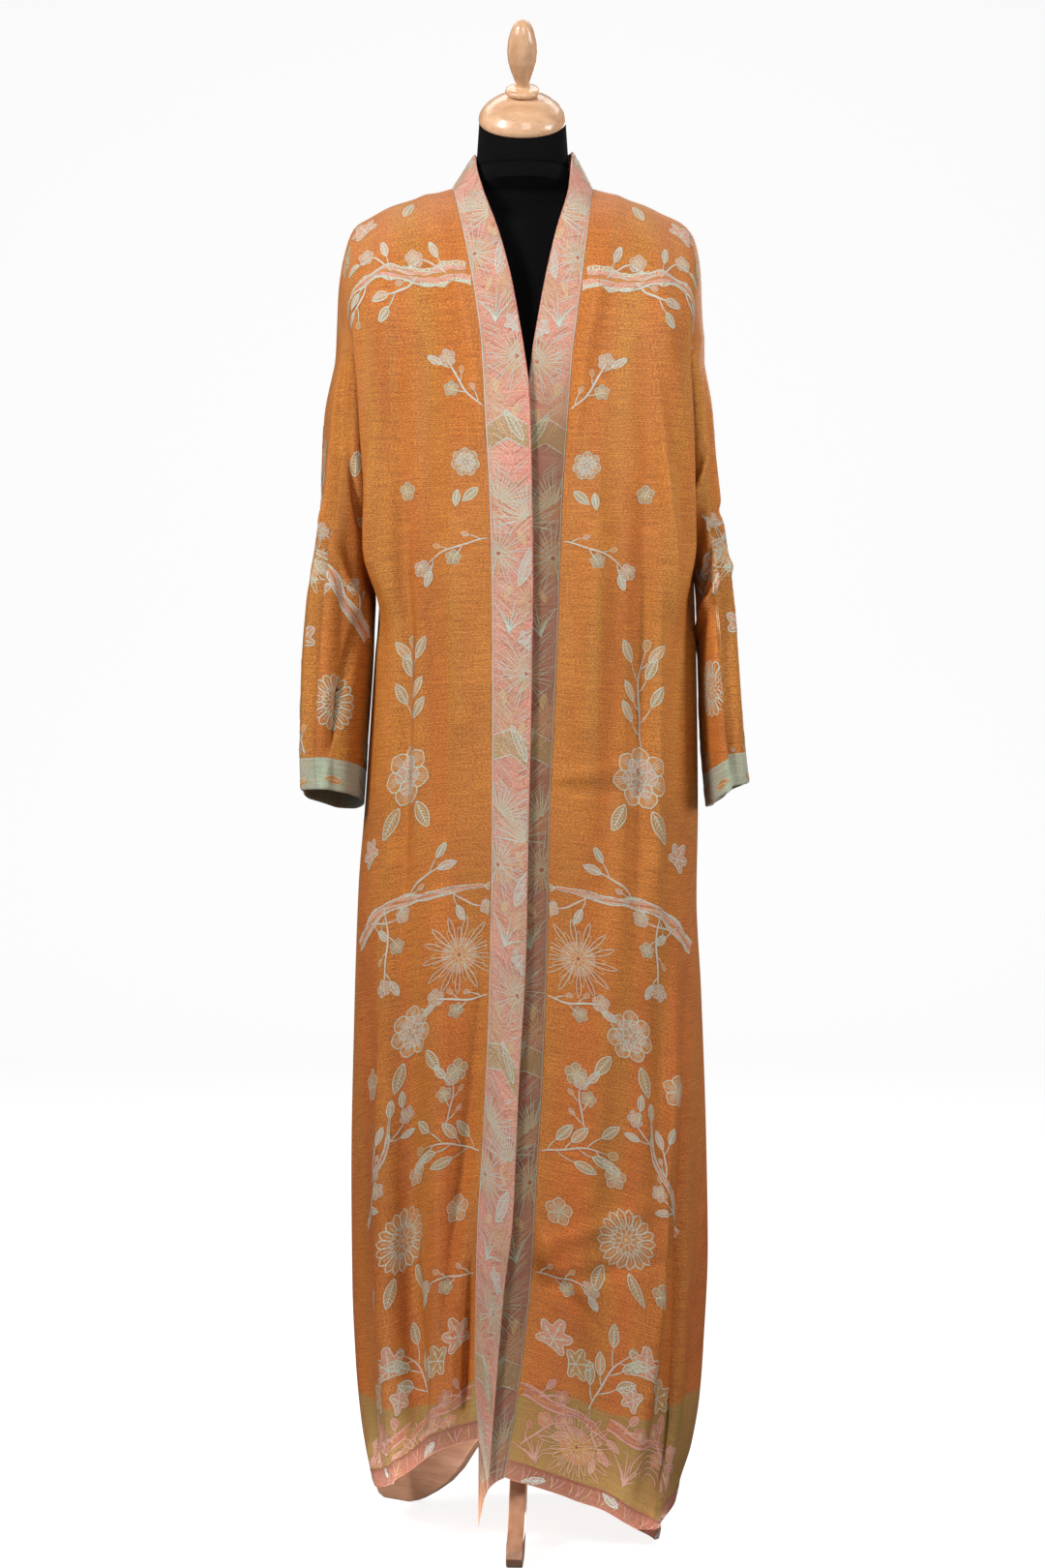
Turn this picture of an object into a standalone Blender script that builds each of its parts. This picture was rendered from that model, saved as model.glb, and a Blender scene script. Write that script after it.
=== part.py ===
"""Kimono robe hung on a limbless dress form.

The robe is cut from straight panels: two fronts, a back, dropped sleeves with contrast cuffs, one long
band round the opening and the neck, and a narrow band at the hem. Metres, +Z up, floor at z = 0.
The viewer stands at -Y. Sides are the wearer's: "right" is at -X, "left" at +X. The right front lies on top.
A piece is worked out in side coordinates: out is the distance from the middle, away from the body.
"""

import math
from collections import namedtuple

import bmesh
import bpy
import numpy as np
from mathutils import Euler, Vector

# Driving sizes
CLOTH = 0.0016
DOUBLE_CLOTH = 0.0022
SEAM_GAP = 0.0004
EDGE_BEVEL = 0.0004
OVERLAP_STEP = 0.008
HEM_BAND = 0.019
CUFF_DEPTH = 0.034
SQUARENESS = 0.8
FOLD_ANGLE = math.radians(40)
FOLD_COLUMN = 0.78
NECK_COLUMN = 0.30
SHOULDER_LEVEL = 1.295
UNDERARM_LEVEL = 1.09
FOLD_ENDS = 0.97
NECK_POINT_OUT = 0.0785
BACK_NECK_DEPTH = 0.066
BACK_NECK_RISE = 0.010
COLLAR_BACK = 0.0590
COLLAR_BACK_RISE = 0.004
FORM_CLEARANCE = 0.0013
SEAT_GAP = 0.0003
SHARP_ANGLE = math.radians(40)
BAND_BLEND_ROWS = 3
FRONT, BACK = -1, 1
SIDES = {"right": -1, "left": 1}

# How finely each piece is divided
FRONT_COLUMNS = 12
NECK_COLUMNS = 7
BACK_COLUMNS = 7
TAIL_COLUMNS = 6
SHOULDER_ROWS = 8
ARMHOLE_ROWS = 7
SKIRT_ROWS = 15
SLEEVE_ROWS = 11
BAND_COLUMNS = 4

Ridge = namedtuple("Ridge", "out z")
RIDGE = {
    "right": [Ridge(0.0785, 1.4930), Ridge(0.0957, 1.4880), Ridge(0.1220, 1.4805), Ridge(0.1480, 1.4705),
              Ridge(0.1720, 1.4595), Ridge(0.1860, 1.4515), Ridge(0.1925, 1.4415), Ridge(0.1980, 1.4250),
              Ridge(0.2030, 1.4030), Ridge(0.2065, 1.3750), Ridge(0.2078, 1.3450), Ridge(0.2090, 1.3130)],
    "left": [Ridge(0.0785, 1.4930), Ridge(0.1020, 1.4860), Ridge(0.1293, 1.4755), Ridge(0.1543, 1.4655),
             Ridge(0.1760, 1.4560), Ridge(0.1860, 1.4475), Ridge(0.1925, 1.4370), Ridge(0.1975, 1.4170),
             Ridge(0.2000, 1.3950), Ridge(0.2010, 1.3670), Ridge(0.2020, 1.3450), Ridge(0.2040, 1.3250)],
}
# Where the column at the fold meets the shoulder line, as a share of its length
RIDGE_SHARE_AT_FOLD = 0.44

# Half width of the body below the underarm
Width = namedtuple("Width", "z half")
BODY = {
    "right": [Width(1.090, 0.1595), Width(1.030, 0.1610), Width(0.950, 0.1665), Width(0.860, 0.1725),
              Width(0.800, 0.1765), Width(0.713, 0.1835), Width(0.568, 0.1884), Width(0.393, 0.1916),
              Width(0.270, 0.1905), Width(0.180, 0.1865), Width(0.125, 0.1815), Width(0.080, 0.1745),
              Width(0.030, 0.1620)],
    "left": [Width(1.090, 0.1905), Width(1.030, 0.1935), Width(0.950, 0.1950), Width(0.800, 0.1965),
             Width(0.700, 0.1950), Width(0.597, 0.2000), Width(0.420, 0.2060), Width(0.310, 0.2076),
             Width(0.206, 0.2030), Width(0.145, 0.1985), Width(0.089, 0.1890), Width(0.040, 0.1740),
             Width(0.005, 0.1690)],
}
# Where the front and back panels double back in front of and behind the sleeve
FOLD_EDGE = {
    "right": [Width(1.295, 0.1820), Width(1.214, 0.1740), Width(1.146, 0.1700), Width(1.090, 0.1665)],
    "left": [Width(1.295, 0.1815), Width(1.214, 0.1850), Width(1.146, 0.1870), Width(1.090, 0.1880)],
}
# The doubled edge: how far it rolls at its fold, and where it turns back towards the armhole
ROLL_OUT = 0.010
ROLL_IN = 0.013
TURN_FROM_ARMHOLE = 0.012
TURN_FROM_FOLD = 0.016
TURN_DEPTH_SHARE = 0.65
Depth = namedtuple("Depth", "z front back")
DEPTH = [Depth(1.295, 0.116, 0.118), Depth(1.200, 0.129, 0.122), Depth(1.100, 0.133, 0.118),
         Depth(0.950, 0.129, 0.116), Depth(0.600, 0.133, 0.119), Depth(0.300, 0.142, 0.122),
         Depth(0.000, 0.151, 0.120)]

# The band: its seam with the panel and its free edge, from the middle outwards
SEAM = {
    "right": [Width(1.295, 0.0445), Width(1.233, 0.0412), Width(1.123, 0.0354), Width(1.000, 0.0330),
              Width(0.774, 0.0333), Width(0.600, 0.0362), Width(0.454, 0.0425), Width(0.340, 0.0490),
              Width(0.213, 0.0510), Width(0.120, 0.0476), Width(0.020, 0.0476)],
    "left": [Width(1.295, 0.0545), Width(1.233, 0.0500), Width(1.123, 0.0428), Width(1.000, 0.0388),
             Width(0.774, 0.0292), Width(0.649, 0.0268), Width(0.510, 0.0218), Width(0.385, 0.0146),
             Width(0.300, 0.0100), Width(0.170, -0.0052), Width(0.084, -0.0186)],
}
EDGE = {
    "right": [Width(1.295, -0.0010), Width(1.250, -0.0066), Width(1.173, -0.0089), Width(1.060, -0.0104),
              Width(0.946, -0.0094), Width(0.774, -0.0058), Width(0.649, -0.0035), Width(0.495, 0.0048),
              Width(0.356, 0.0111), Width(0.287, 0.0197), Width(0.201, 0.0269), Width(0.069, 0.0372)],
    "left": [Width(1.295, 0.0115), Width(1.244, 0.0052), Width(1.123, -0.0045), Width(0.920, -0.0105),
             Width(0.649, -0.0200), Width(0.510, -0.0250), Width(0.385, -0.0320), Width(0.200, -0.0470),
             Width(0.032, -0.0475)],
}
# The free edge above the chest, by share of the way down from the shoulder line to the chest
Collar = namedtuple("Collar", "share out y z")
COLLAR = {
    "right": [Collar(0.0, 0.0545, 0.000, 1.533), Collar(0.2, 0.0520, -0.036, 1.511),
              Collar(0.4, 0.0447, -0.060, 1.483), Collar(0.6, 0.0265, -0.085, 1.430),
              Collar(0.8, 0.0126, -0.104, 1.375), Collar(1.0, 0.0000, -0.116, 1.303)],
    "left": [Collar(0.0, 0.0570, 0.000, 1.536), Collar(0.2, 0.0550, -0.036, 1.512),
             Collar(0.4, 0.0515, -0.058, 1.483), Collar(0.6, 0.0370, -0.082, 1.430),
             Collar(0.8, 0.0245, -0.099, 1.372), Collar(1.0, 0.0122, -0.108, 1.302)],
}
SEAM_LEAN = {"right": 1.3, "left": 0.95}
# Height of the band's lower end, by share of its width from the seam to the free edge
End = namedtuple("End", "share z")
BAND_END = {
    "right": [End(0.0, 0.1270), End(0.5, 0.0980), End(1.0, 0.0690)],
    "left": [End(0.0, 0.0840), End(0.35, 0.0790), End(0.7, 0.0680), End(1.0, 0.0320)],
}
# Height of the hem, by share of the way from the band's seam or the middle of the back to the side
HEM = {
    ("right", FRONT): [End(0.0, 0.1270), End(0.25, 0.1140), End(0.45, 0.0980), End(0.6, 0.0830),
                       End(0.78, 0.0680), End(0.9, 0.0520), End(1.0, 0.0400)],
    ("left", FRONT): [End(0.0, 0.0840), End(0.08, 0.0740), End(0.19, 0.0640), End(0.27, 0.0560),
                      End(0.4, 0.0470), End(0.54, 0.0320), End(0.68, 0.0190), End(0.84, 0.0050),
                      End(0.89, 0.0080), End(0.95, 0.0220), End(1.0, 0.0360)],
    ("right", BACK): [End(0.0, 0.0300), End(0.12, 0.0540), End(0.5, 0.0560), End(0.78, 0.0490),
                      End(1.0, 0.0400)],
    ("left", BACK): [End(0.0, 0.0300), End(0.08, 0.0070), End(0.42, 0.0050), End(0.6, 0.0300),
                     End(0.74, 0.0430), End(0.9, 0.0420), End(1.0, 0.0360)],
}

# Soft folds of the body: place and width as shares across a panel, height of the crest, and where it starts
Fold = namedtuple("Fold", "side face place width crest starts full")
FOLDS = [
    Fold("right", FRONT, 0.24, 0.13, 0.005, 1.15, 0.45),
    Fold("right", FRONT, 0.48, 0.14, -0.007, 0.95, 0.25),
    Fold("right", FRONT, 0.70, 0.13, 0.007, 0.85, 0.20),
    Fold("right", FRONT, 0.88, 0.10, -0.010, 0.70, 0.15),
    Fold("left", FRONT, 0.30, 0.14, -0.005, 1.10, 0.40),
    Fold("left", FRONT, 0.52, 0.13, 0.006, 1.00, 0.30),
    Fold("left", FRONT, 0.76, 0.10, 0.011, 0.62, 0.10),
    Fold("left", FRONT, 0.89, 0.09, -0.013, 0.62, 0.10),
    Fold("right", BACK, 0.16, 0.15, 0.010, 1.00, 0.30),
    Fold("right", BACK, 0.40, 0.14, -0.012, 0.90, 0.20),
    Fold("right", BACK, 0.62, 0.13, 0.010, 0.85, 0.20),
    Fold("right", BACK, 0.84, 0.12, -0.010, 0.70, 0.20),
    Fold("left", BACK, 0.12, 0.11, -0.009, 1.05, 0.30),
    Fold("left", BACK, 0.34, 0.14, 0.012, 0.95, 0.25),
    Fold("left", BACK, 0.58, 0.14, -0.013, 0.90, 0.15),
    Fold("left", BACK, 0.82, 0.12, 0.009, 0.70, 0.20),
]

# Sleeve: middle, half width and half depth of its oval section, and how far it hangs forward
Sleeve = namedtuple("Sleeve", "z middle half_width half_depth forward")
SLEEVE = {
    "right": [Sleeve(1.295, 0.1850, 0.0240, 0.068, 0.000), Sleeve(1.240, 0.1870, 0.0315, 0.070, 0.000),
              Sleeve(1.180, 0.1890, 0.0325, 0.072, 0.000), Sleeve(1.140, 0.1908, 0.0328, 0.073, 0.000),
              Sleeve(1.090, 0.1940, 0.0345, 0.075, 0.000), Sleeve(1.060, 0.1989, 0.0334, 0.077, 0.001),
              Sleeve(1.030, 0.2003, 0.0357, 0.079, 0.002), Sleeve(0.950, 0.2050, 0.0370, 0.078, 0.004),
              Sleeve(0.860, 0.2099, 0.0359, 0.078, 0.006), Sleeve(0.790, 0.2112, 0.0328, 0.077, 0.007)],
    "left": [Sleeve(1.295, 0.1860, 0.0180, 0.068, 0.000), Sleeve(1.240, 0.1920, 0.0215, 0.069, 0.000),
             Sleeve(1.180, 0.1965, 0.0200, 0.071, 0.000), Sleeve(1.090, 0.2063, 0.0158, 0.076, 0.000),
             Sleeve(1.030, 0.2118, 0.0167, 0.080, 0.002), Sleeve(0.950, 0.2168, 0.0198, 0.083, 0.004),
             Sleeve(0.870, 0.2228, 0.0232, 0.083, 0.006), Sleeve(0.790, 0.2310, 0.0245, 0.080, 0.007)],
}
ARMHOLE_BEND = 1.5
# End of the cuff: its middle height, and how much higher its front and its outer side are
Cuff = namedtuple("Cuff", "z front outer")
CUFF = {"right": Cuff(0.810, 0.0105, 0.004), "left": Cuff(0.815, 0.0050, 0.013)}
SleeveFold = namedtuple("SleeveFold", "side angle width crest starts full")
SLEEVE_FOLDS = [
    SleeveFold("right", 122, 34, 0.005, 1.24, 1.00),
    SleeveFold("right", 78, 30, -0.006, 1.22, 0.95),
    SleeveFold("right", 235, 40, -0.006, 1.22, 0.95),
    SleeveFold("right", 290, 34, 0.005, 1.20, 0.95),
    SleeveFold("left", 140, 34, 0.004, 1.24, 1.00),
    SleeveFold("left", 100, 30, -0.004, 1.22, 1.00),
    SleeveFold("left", 230, 40, -0.005, 1.22, 0.95),
]

# Dress form: half width, depth to the front and depth to the back of its sections
Form = namedtuple("Form", "z half_width front back")
FORM = [Form(0.800, 0.146, 0.094, 0.096), Form(0.806, 0.152, 0.098, 0.101), Form(0.870, 0.160, 0.101, 0.106),
        Form(0.950, 0.149, 0.096, 0.100), Form(1.000, 0.140, 0.090, 0.088), Form(1.060, 0.128, 0.086, 0.080),
        Form(1.110, 0.130, 0.092, 0.082), Form(1.170, 0.143, 0.107, 0.090), Form(1.225, 0.152, 0.114, 0.094),
        Form(1.290, 0.158, 0.104, 0.095), Form(1.350, 0.168, 0.088, 0.086), Form(1.400, 0.178, 0.073, 0.073),
        Form(1.430, 0.183, 0.064, 0.063), Form(1.449, 0.180, 0.056, 0.056)]
FORM_SHOULDER_DEPTH = (0.036, 0.034)
SHOULDER_END = (0.0770, 0.0420, 0.0400, 1.4870)
NECK_BASE = (0.0600, 0.0560, 0.0560, 1.4965)
NECK_FOOT = (0.0525, 1.512)
NECK_TOP_RADIUS = 0.0485
NECK_TOP_LEVEL = 1.566
NECK_TOP_FORWARD = 0.010
NECK_TILT = math.radians(35)
NECK_ROWS = 5
FORM_COLUMNS = 32

Turn = namedtuple("Turn", "radius height")
CAP = [Turn(0.0, 0.0330), Turn(0.0120, 0.0322), Turn(0.0230, 0.0295), Turn(0.0330, 0.0250),
       Turn(0.0420, 0.0180), Turn(0.0475, 0.0105), Turn(0.0494, 0.0050), Turn(0.0485, 0.0), Turn(0.0, 0.0)]
FINIAL = [Turn(0.0, 0.0840), Turn(0.0045, 0.0830), Turn(0.0090, 0.0790), Turn(0.0130, 0.0710),
          Turn(0.0158, 0.0610), Turn(0.0170, 0.0490), Turn(0.0160, 0.0370), Turn(0.0125, 0.0250),
          Turn(0.0086, 0.0150), Turn(0.0070, 0.0100), Turn(0.0072, 0.0075), Turn(0.0175, 0.0065),
          Turn(0.0195, 0.0045), Turn(0.0190, 0.0), Turn(0.0, 0.0)]
TURNED_STEPS = 24
COLUMN_RADIUS = 0.0160
COLUMN_BOTTOM = 0.066
HUB_RADIUS = 0.0210
HUB_TOP = 0.215
COLUMN = [Turn(0.0, 0.7997), Turn(COLUMN_RADIUS, 0.7997), Turn(COLUMN_RADIUS, HUB_TOP + 0.010),
          Turn(HUB_RADIUS, HUB_TOP), Turn(HUB_RADIUS, COLUMN_BOTTOM + 0.008),
          Turn(HUB_RADIUS - 0.006, COLUMN_BOTTOM), Turn(0.0, COLUMN_BOTTOM)]
LEG_THICKNESS = 0.0175
LEG_FIRST_AZIMUTH = -92.6
# The leg board's side view: distance from the post and height, round its outline
Leg = namedtuple("Leg", "reach z")
LEG_OUTLINE = [Leg(0.0213, 0.190), Leg(0.0213, 0.095), Leg(0.0420, 0.096), Leg(0.0600, 0.078),
               Leg(0.0830, 0.045), Leg(0.0995, 0.028), Leg(0.1190, 0.014), Leg(0.1360, 0.004),
               Leg(0.1500, 0.000), Leg(0.1850, 0.000), Leg(0.1930, 0.004), Leg(0.1970, 0.012),
               Leg(0.1940, 0.020), Leg(0.1850, 0.025), Leg(0.1600, 0.032), Leg(0.1350, 0.049),
               Leg(0.1120, 0.074), Leg(0.0930, 0.102), Leg(0.0760, 0.134), Leg(0.0560, 0.166),
               Leg(0.0380, 0.185)]

COLOURS = {
    "robe_cloth": ((0.560, 0.190, 0.045), 0.62, 0.0),
    "band_cloth": ((0.560, 0.300, 0.210), 0.66, 0.0),
    "cuff_cloth": ((0.390, 0.420, 0.330), 0.66, 0.0),
    "black_jersey": ((0.010, 0.010, 0.011), 0.85, 0.0),
    "beech": ((0.700, 0.420, 0.220), 0.35, 0.0),
}


def curve(rows, column, at):
    """A smooth curve through one column of a table, with no overshoot, read at these places."""
    table = np.array([[row[0], getattr(row, column)] for row in rows], float)
    xs, ys = table[np.argsort(table[:, 0])].T
    at = np.clip(at, xs[0], xs[-1])
    step = np.diff(xs)
    slope = np.diff(ys) / step
    before, after = slope[:-1], slope[1:]
    turns = before * after <= 0
    inner = np.where(turns, 0.0, 2 * before * after / np.where(turns, 1.0, before + after))
    lean = np.concatenate([slope[:1], inner, slope[-1:]])
    i = np.clip(np.searchsorted(xs, at, side="right") - 1, 0, len(step) - 1)
    u = (at - xs[i]) / step[i]
    return (ys[i] * (1 + 2 * u) * (1 - u) ** 2 + ys[i + 1] * u * u * (3 - 2 * u)
            + step[i] * (lean[i] * u * (1 - u) ** 2 - lean[i + 1] * u * u * (1 - u)))


def power(value, exponent):
    """A power that keeps the sign."""
    return np.sign(value) * np.abs(value) ** exponent


def mix(a, b, share):
    return a + (b - a) * share


def soft_step(share):
    share = np.clip(share, 0.0, 1.0)
    return share * share * (3 - 2 * share)


def bump(distance, width):
    """A crest one wide each way, and nothing outside it."""
    return np.where(np.abs(distance) < width, np.cos(np.pi / 2 * distance / width) ** 2, 0.0)


def place(side, out, y, z):
    """The point in the part's own frame."""
    out, y, z = np.broadcast_arrays(out, y, z)
    return np.stack([SIDES[side] * out, y, z], axis=-1)


def doubling(z):
    """How far the panel is doubled beside the sleeve: wholly above the underarm, not at all at the waist."""
    return soft_step((z - FOLD_ENDS) / (UNDERARM_LEVEL - FOLD_ENDS))


def wall_width(side, z):
    folded = curve(FOLD_EDGE[side], "half", z) / math.cos(FOLD_ANGLE) ** SQUARENESS
    return mix(curve(BODY[side], "half", z), folded, doubling(z))


def wall_depth(side, face, z):
    if face == BACK:
        return curve(DEPTH, "back", z)
    return curve(DEPTH, "front", z) - (OVERLAP_STEP if side == "left" else 0.0)


def wall(side, face, angle, z):
    """The body's outline at height z: the angle is 0 at the side and 90 degrees at the middle."""
    out = wall_width(side, z) * power(np.cos(angle), SQUARENESS)
    y = face * wall_depth(side, face, z) * power(np.sin(angle), SQUARENESS)
    return out, y


def wall_angle(side, out, z):
    return np.arccos(np.clip(power(out / wall_width(side, z), 1 / SQUARENESS), -1.0, 1.0))


def fold_height(side, face, across, z):
    """How far the soft folds raise the wall."""
    total = np.zeros(np.broadcast(across, z).shape)
    for fold in FOLDS:
        if fold.side == side and fold.face == face:
            grown = soft_step((fold.starts - z) / (fold.starts - fold.full))
            total = total + fold.crest * grown * bump(across - fold.place, fold.width)
    return total


def raised(side, face, out, y, z, height):
    """The wall's point moved along its own facing."""
    along_out = out / wall_width(side, z) ** 2
    along_y = y / wall_depth(side, face, z) ** 2
    length = np.hypot(along_out, along_y)
    return out + height * along_out / length, y + height * along_y / length


def armhole_angle(z):
    """Angle round the sleeve where the armhole's seam crosses this height: 0 at the underarm."""
    share = np.clip((z - UNDERARM_LEVEL) / (SHOULDER_LEVEL - UNDERARM_LEVEL), 0.0, 1.0)
    return np.arccos((1 - share) ** (1 / ARMHOLE_BEND))


def sleeve_ring(side, angle, z):
    """The sleeve's outline at height z: 0 at the body, 90 degrees at the front, 180 on the outside."""
    rows = SLEEVE[side]
    out = curve(rows, "middle", z) - curve(rows, "half_width", z) * np.cos(angle)
    y = -curve(rows, "forward", z) - curve(rows, "half_depth", z) * np.sin(angle)
    return out, y


def section(side, face, across, z):
    """A panel's outline at height z, from its inner edge (0) to the side or the armhole (1)."""
    across, z = np.broadcast_arrays(across, z)
    inner = curve(SEAM[side], "half", z) if face == FRONT else np.zeros(z.shape)
    first = wall_angle(side, inner, z)
    on_wall = np.clip(across / FOLD_COLUMN, 0.0, 1.0)
    beyond = np.clip((across - FOLD_COLUMN) / (1 - FOLD_COLUMN), 0.0, 1.0)
    out, y = wall(side, face, mix(first, FOLD_ANGLE, on_wall) * (1 - beyond), z)
    out = out - (wall_width(side, z) - curve(BODY[side], "half", z)) * soft_step(beyond)
    fold_out, fold_y = wall(side, face, FOLD_ANGLE, z)
    ring_out, ring_y = sleeve_ring(side, armhole_angle(z), z)
    above = z >= UNDERARM_LEVEL
    end_out = np.where(above, ring_out, curve(BODY[side], "half", z))
    end_y = np.where(above, -face * ring_y, 0.0)
    first_pull = (fold_out + ROLL_OUT, fold_y - face * ROLL_IN)
    last_pull = (np.minimum(end_out - TURN_FROM_ARMHOLE, fold_out - TURN_FROM_FOLD),
                 mix(end_y, fold_y, TURN_DEPTH_SHARE))
    weights = ((1 - beyond) ** 3, 3 * beyond * (1 - beyond) ** 2, 3 * beyond ** 2 * (1 - beyond), beyond ** 3)
    tail_out = (weights[0] * fold_out + weights[1] * first_pull[0] + weights[2] * last_pull[0]
                + weights[3] * end_out)
    tail_y = weights[0] * fold_y + weights[1] * first_pull[1] + weights[2] * last_pull[1] + weights[3] * end_y
    doubled = np.where(beyond > 0, doubling(z), 0.0)
    out, y = mix(out, tail_out, doubled), mix(y, tail_y, doubled)
    return raised(side, face, out, y, z, fold_height(side, face, across, z))


def ridge(side, share):
    """A point of the shoulder line, by share of its length from the neck to the dropped armhole."""
    table = np.array(RIDGE[side])
    length = np.concatenate([[0.0], np.cumsum(np.hypot(*np.diff(table, axis=0).T))])
    rows = [(at, out, z) for at, (out, z) in zip(length / length[-1], table)]
    named = [Collar(at, out, 0.0, z) for at, out, z in rows]
    return curve(named, "out", share), curve(named, "z", share)


def back_neck(side, turn):
    """The neck's cut edge at the back: 0 at the middle and 90 degrees at the neck point."""
    return (NECK_POINT_OUT * np.sin(turn), BACK_NECK_DEPTH * np.cos(turn),
            RIDGE[side][0].z + BACK_NECK_RISE * np.cos(turn))


def top_edge(side, face, across):
    """Where a column starts: on the shoulder line, or at the back of the neck."""
    share = np.where(across < FOLD_COLUMN, across / FOLD_COLUMN * RIDGE_SHARE_AT_FOLD,
                     mix(RIDGE_SHARE_AT_FOLD, 1.0, (across - FOLD_COLUMN) / (1 - FOLD_COLUMN)))
    if face == FRONT:
        out, z = ridge(side, share)
        return out, np.zeros(out.shape), z
    share_at_neck = NECK_COLUMN * RIDGE_SHARE_AT_FOLD / FOLD_COLUMN
    out, z = ridge(side, np.clip((share - share_at_neck) / (1 - share_at_neck), 0.0, 1.0))
    behind = across < NECK_COLUMN
    neck = back_neck(side, np.clip(across / NECK_COLUMN, 0.0, 1.0) * math.pi / 2)
    return tuple(np.where(behind, at_neck, on_ridge) for at_neck, on_ridge in zip(neck, (out, 0.0, z)))


def hem_level(side, face, across):
    return curve(HEM[side, face], "z", across)


def panel_point(side, face, across, down):
    """A point of a panel: down is 0 to 1 over the shoulder, to 2 beside the armhole and to 3 at the hem."""
    across, down = np.broadcast_arrays(np.asarray(across, float), np.asarray(down, float))
    lowest = hem_level(side, face, across) + HEM_BAND
    z = np.where(down < 2, sleeve_top(side, (2 - np.clip(down, 1, 2)) * math.pi / 2),
                 mix(UNDERARM_LEVEL, lowest, np.clip(down - 2, 0, 1)))
    out, y = section(side, face, across, z)
    top_out, top_y, top_z = top_edge(side, face, across)
    turn = np.clip(down, 0, 1) * math.pi / 2
    lean = mix(SEAM_LEAN[side] if face == FRONT else 1.0, 1.0, np.clip(across / FOLD_COLUMN, 0, 1))
    over = down < 1
    cosine = np.clip(np.cos(turn), 0.0, 1.0)
    out = np.where(over, mix(out, top_out, cosine ** lean), out)
    y = np.where(over, mix(top_y, y, np.sin(turn)), y)
    z = np.where(over, mix(z, top_z, cosine), z)
    return place(side, out, y, z)


def sleeve_top(side, angle):
    """The armhole's seam, at each angle round the sleeve."""
    inward = np.cos(angle)
    low = mix(UNDERARM_LEVEL, SHOULDER_LEVEL, 1 - np.abs(inward) ** ARMHOLE_BEND)
    high = mix(SHOULDER_LEVEL, RIDGE[side][-1].z, -inward)
    return np.where(inward > 0, low, high)


def cuff_level(side, angle):
    cuff = CUFF[side]
    return cuff.z + cuff.front * np.sin(angle) - cuff.outer * np.cos(angle)


def sleeve_point(side, angle, down):
    """A point of a sleeve: down is 0 at the armhole, 1 at the cuff's seam and 2 at the cuff's end."""
    top = sleeve_top(side, angle)
    seam = cuff_level(side, angle) + CUFF_DEPTH
    z = np.where(down < 1, mix(top, seam, np.clip(down, 0, 1)), seam - CUFF_DEPTH * np.clip(down - 1, 0, 1))
    out, y = sleeve_ring(side, angle, np.minimum(z, SHOULDER_LEVEL))
    above = z > SHOULDER_LEVEL
    centre = curve(SLEEVE[side], "middle", SHOULDER_LEVEL)
    reach = curve(SLEEVE[side], "half_width", SHOULDER_LEVEL)
    out = np.where(above, centre - reach * np.cos(angle), out)
    total = np.zeros(np.broadcast(angle, z).shape)
    for fold in SLEEVE_FOLDS:
        if fold.side == side:
            grown = soft_step((fold.starts - z) / (fold.starts - fold.full))
            total = total + fold.crest * grown * bump(np.degrees(angle) - fold.angle, fold.width)
    depth = curve(SLEEVE[side], "half_depth", z)
    normal = np.hypot(np.cos(angle) / reach, np.sin(angle) / depth)
    out = out - total * np.cos(angle) / reach / normal
    y = y - total * np.sin(angle) / depth / normal
    return place(side, out, y, z)


def band_half(side):
    """The band on one side, from the lower end up to the shoulder line: points [row][column]."""
    across = np.linspace(0, 1, BAND_COLUMNS)
    hem = float(hem_level(side, FRONT, 0.0))
    beside_hem = [hem, hem + HEM_BAND / 2]
    beside_panel = [float(panel_point(side, FRONT, 0.0, down)[2]) for down in panel_rows()[::-1] if down >= 1]
    lower = []
    for seam_z in beside_hem + beside_panel:
        climbed = min((seam_z - hem) / (UNDERARM_LEVEL - hem), 1.0)
        z = seam_z + (curve(BAND_END[side], "z", across) - hem) * (1 - climbed)
        out = mix(curve(SEAM[side], "half", z), curve(EDGE[side], "half", z), across)
        y = wall(side, FRONT, wall_angle(side, out, z), z)[1]
        out, y = raised(side, FRONT, out, y, z, fold_height(side, FRONT, np.zeros(BAND_COLUMNS), z))
        lower.append(place(side, out, y, z))
    upper = []
    for share in panel_rows()[panel_rows() < 1][::-1]:
        seam = panel_point(side, FRONT, 0.0, share)
        edge = place(side, *(curve(COLLAR[side], name, share) for name in ("out", "y", "z")))
        upper.append(mix(seam, edge, across[:, None]))
    chest = place(side, *(curve(COLLAR[side], name, 1.0) for name in ("out", "y", "z")))
    step = chest - lower[-1][-1]
    for back in range(BAND_BLEND_ROWS):
        lower[-1 - back] += (1 - back / BAND_BLEND_ROWS) ** 2 * across[:, None] * step
    return np.array(lower + upper)


def collar_back():
    """The band behind the neck, from one shoulder line to the other."""
    across = np.linspace(0, 1, BAND_COLUMNS)[:, None]
    right, left = (place(side, *(curve(COLLAR[side], name, 0.0) for name in ("out", "y", "z")))
                   for side in SIDES)
    rows = []
    for side, turn in both_sides(np.linspace(0, math.pi / 2, NECK_COLUMNS)[:-1]):
        seam = place(side, *back_neck(side, turn))
        edge = mix(right, left, (1 + SIDES[side] * math.sin(turn)) / 2)
        edge = edge + np.array([0.0, COLLAR_BACK, COLLAR_BACK_RISE]) * math.cos(turn)
        rows.append(mix(seam, edge, across))
    return np.array(rows)


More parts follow.
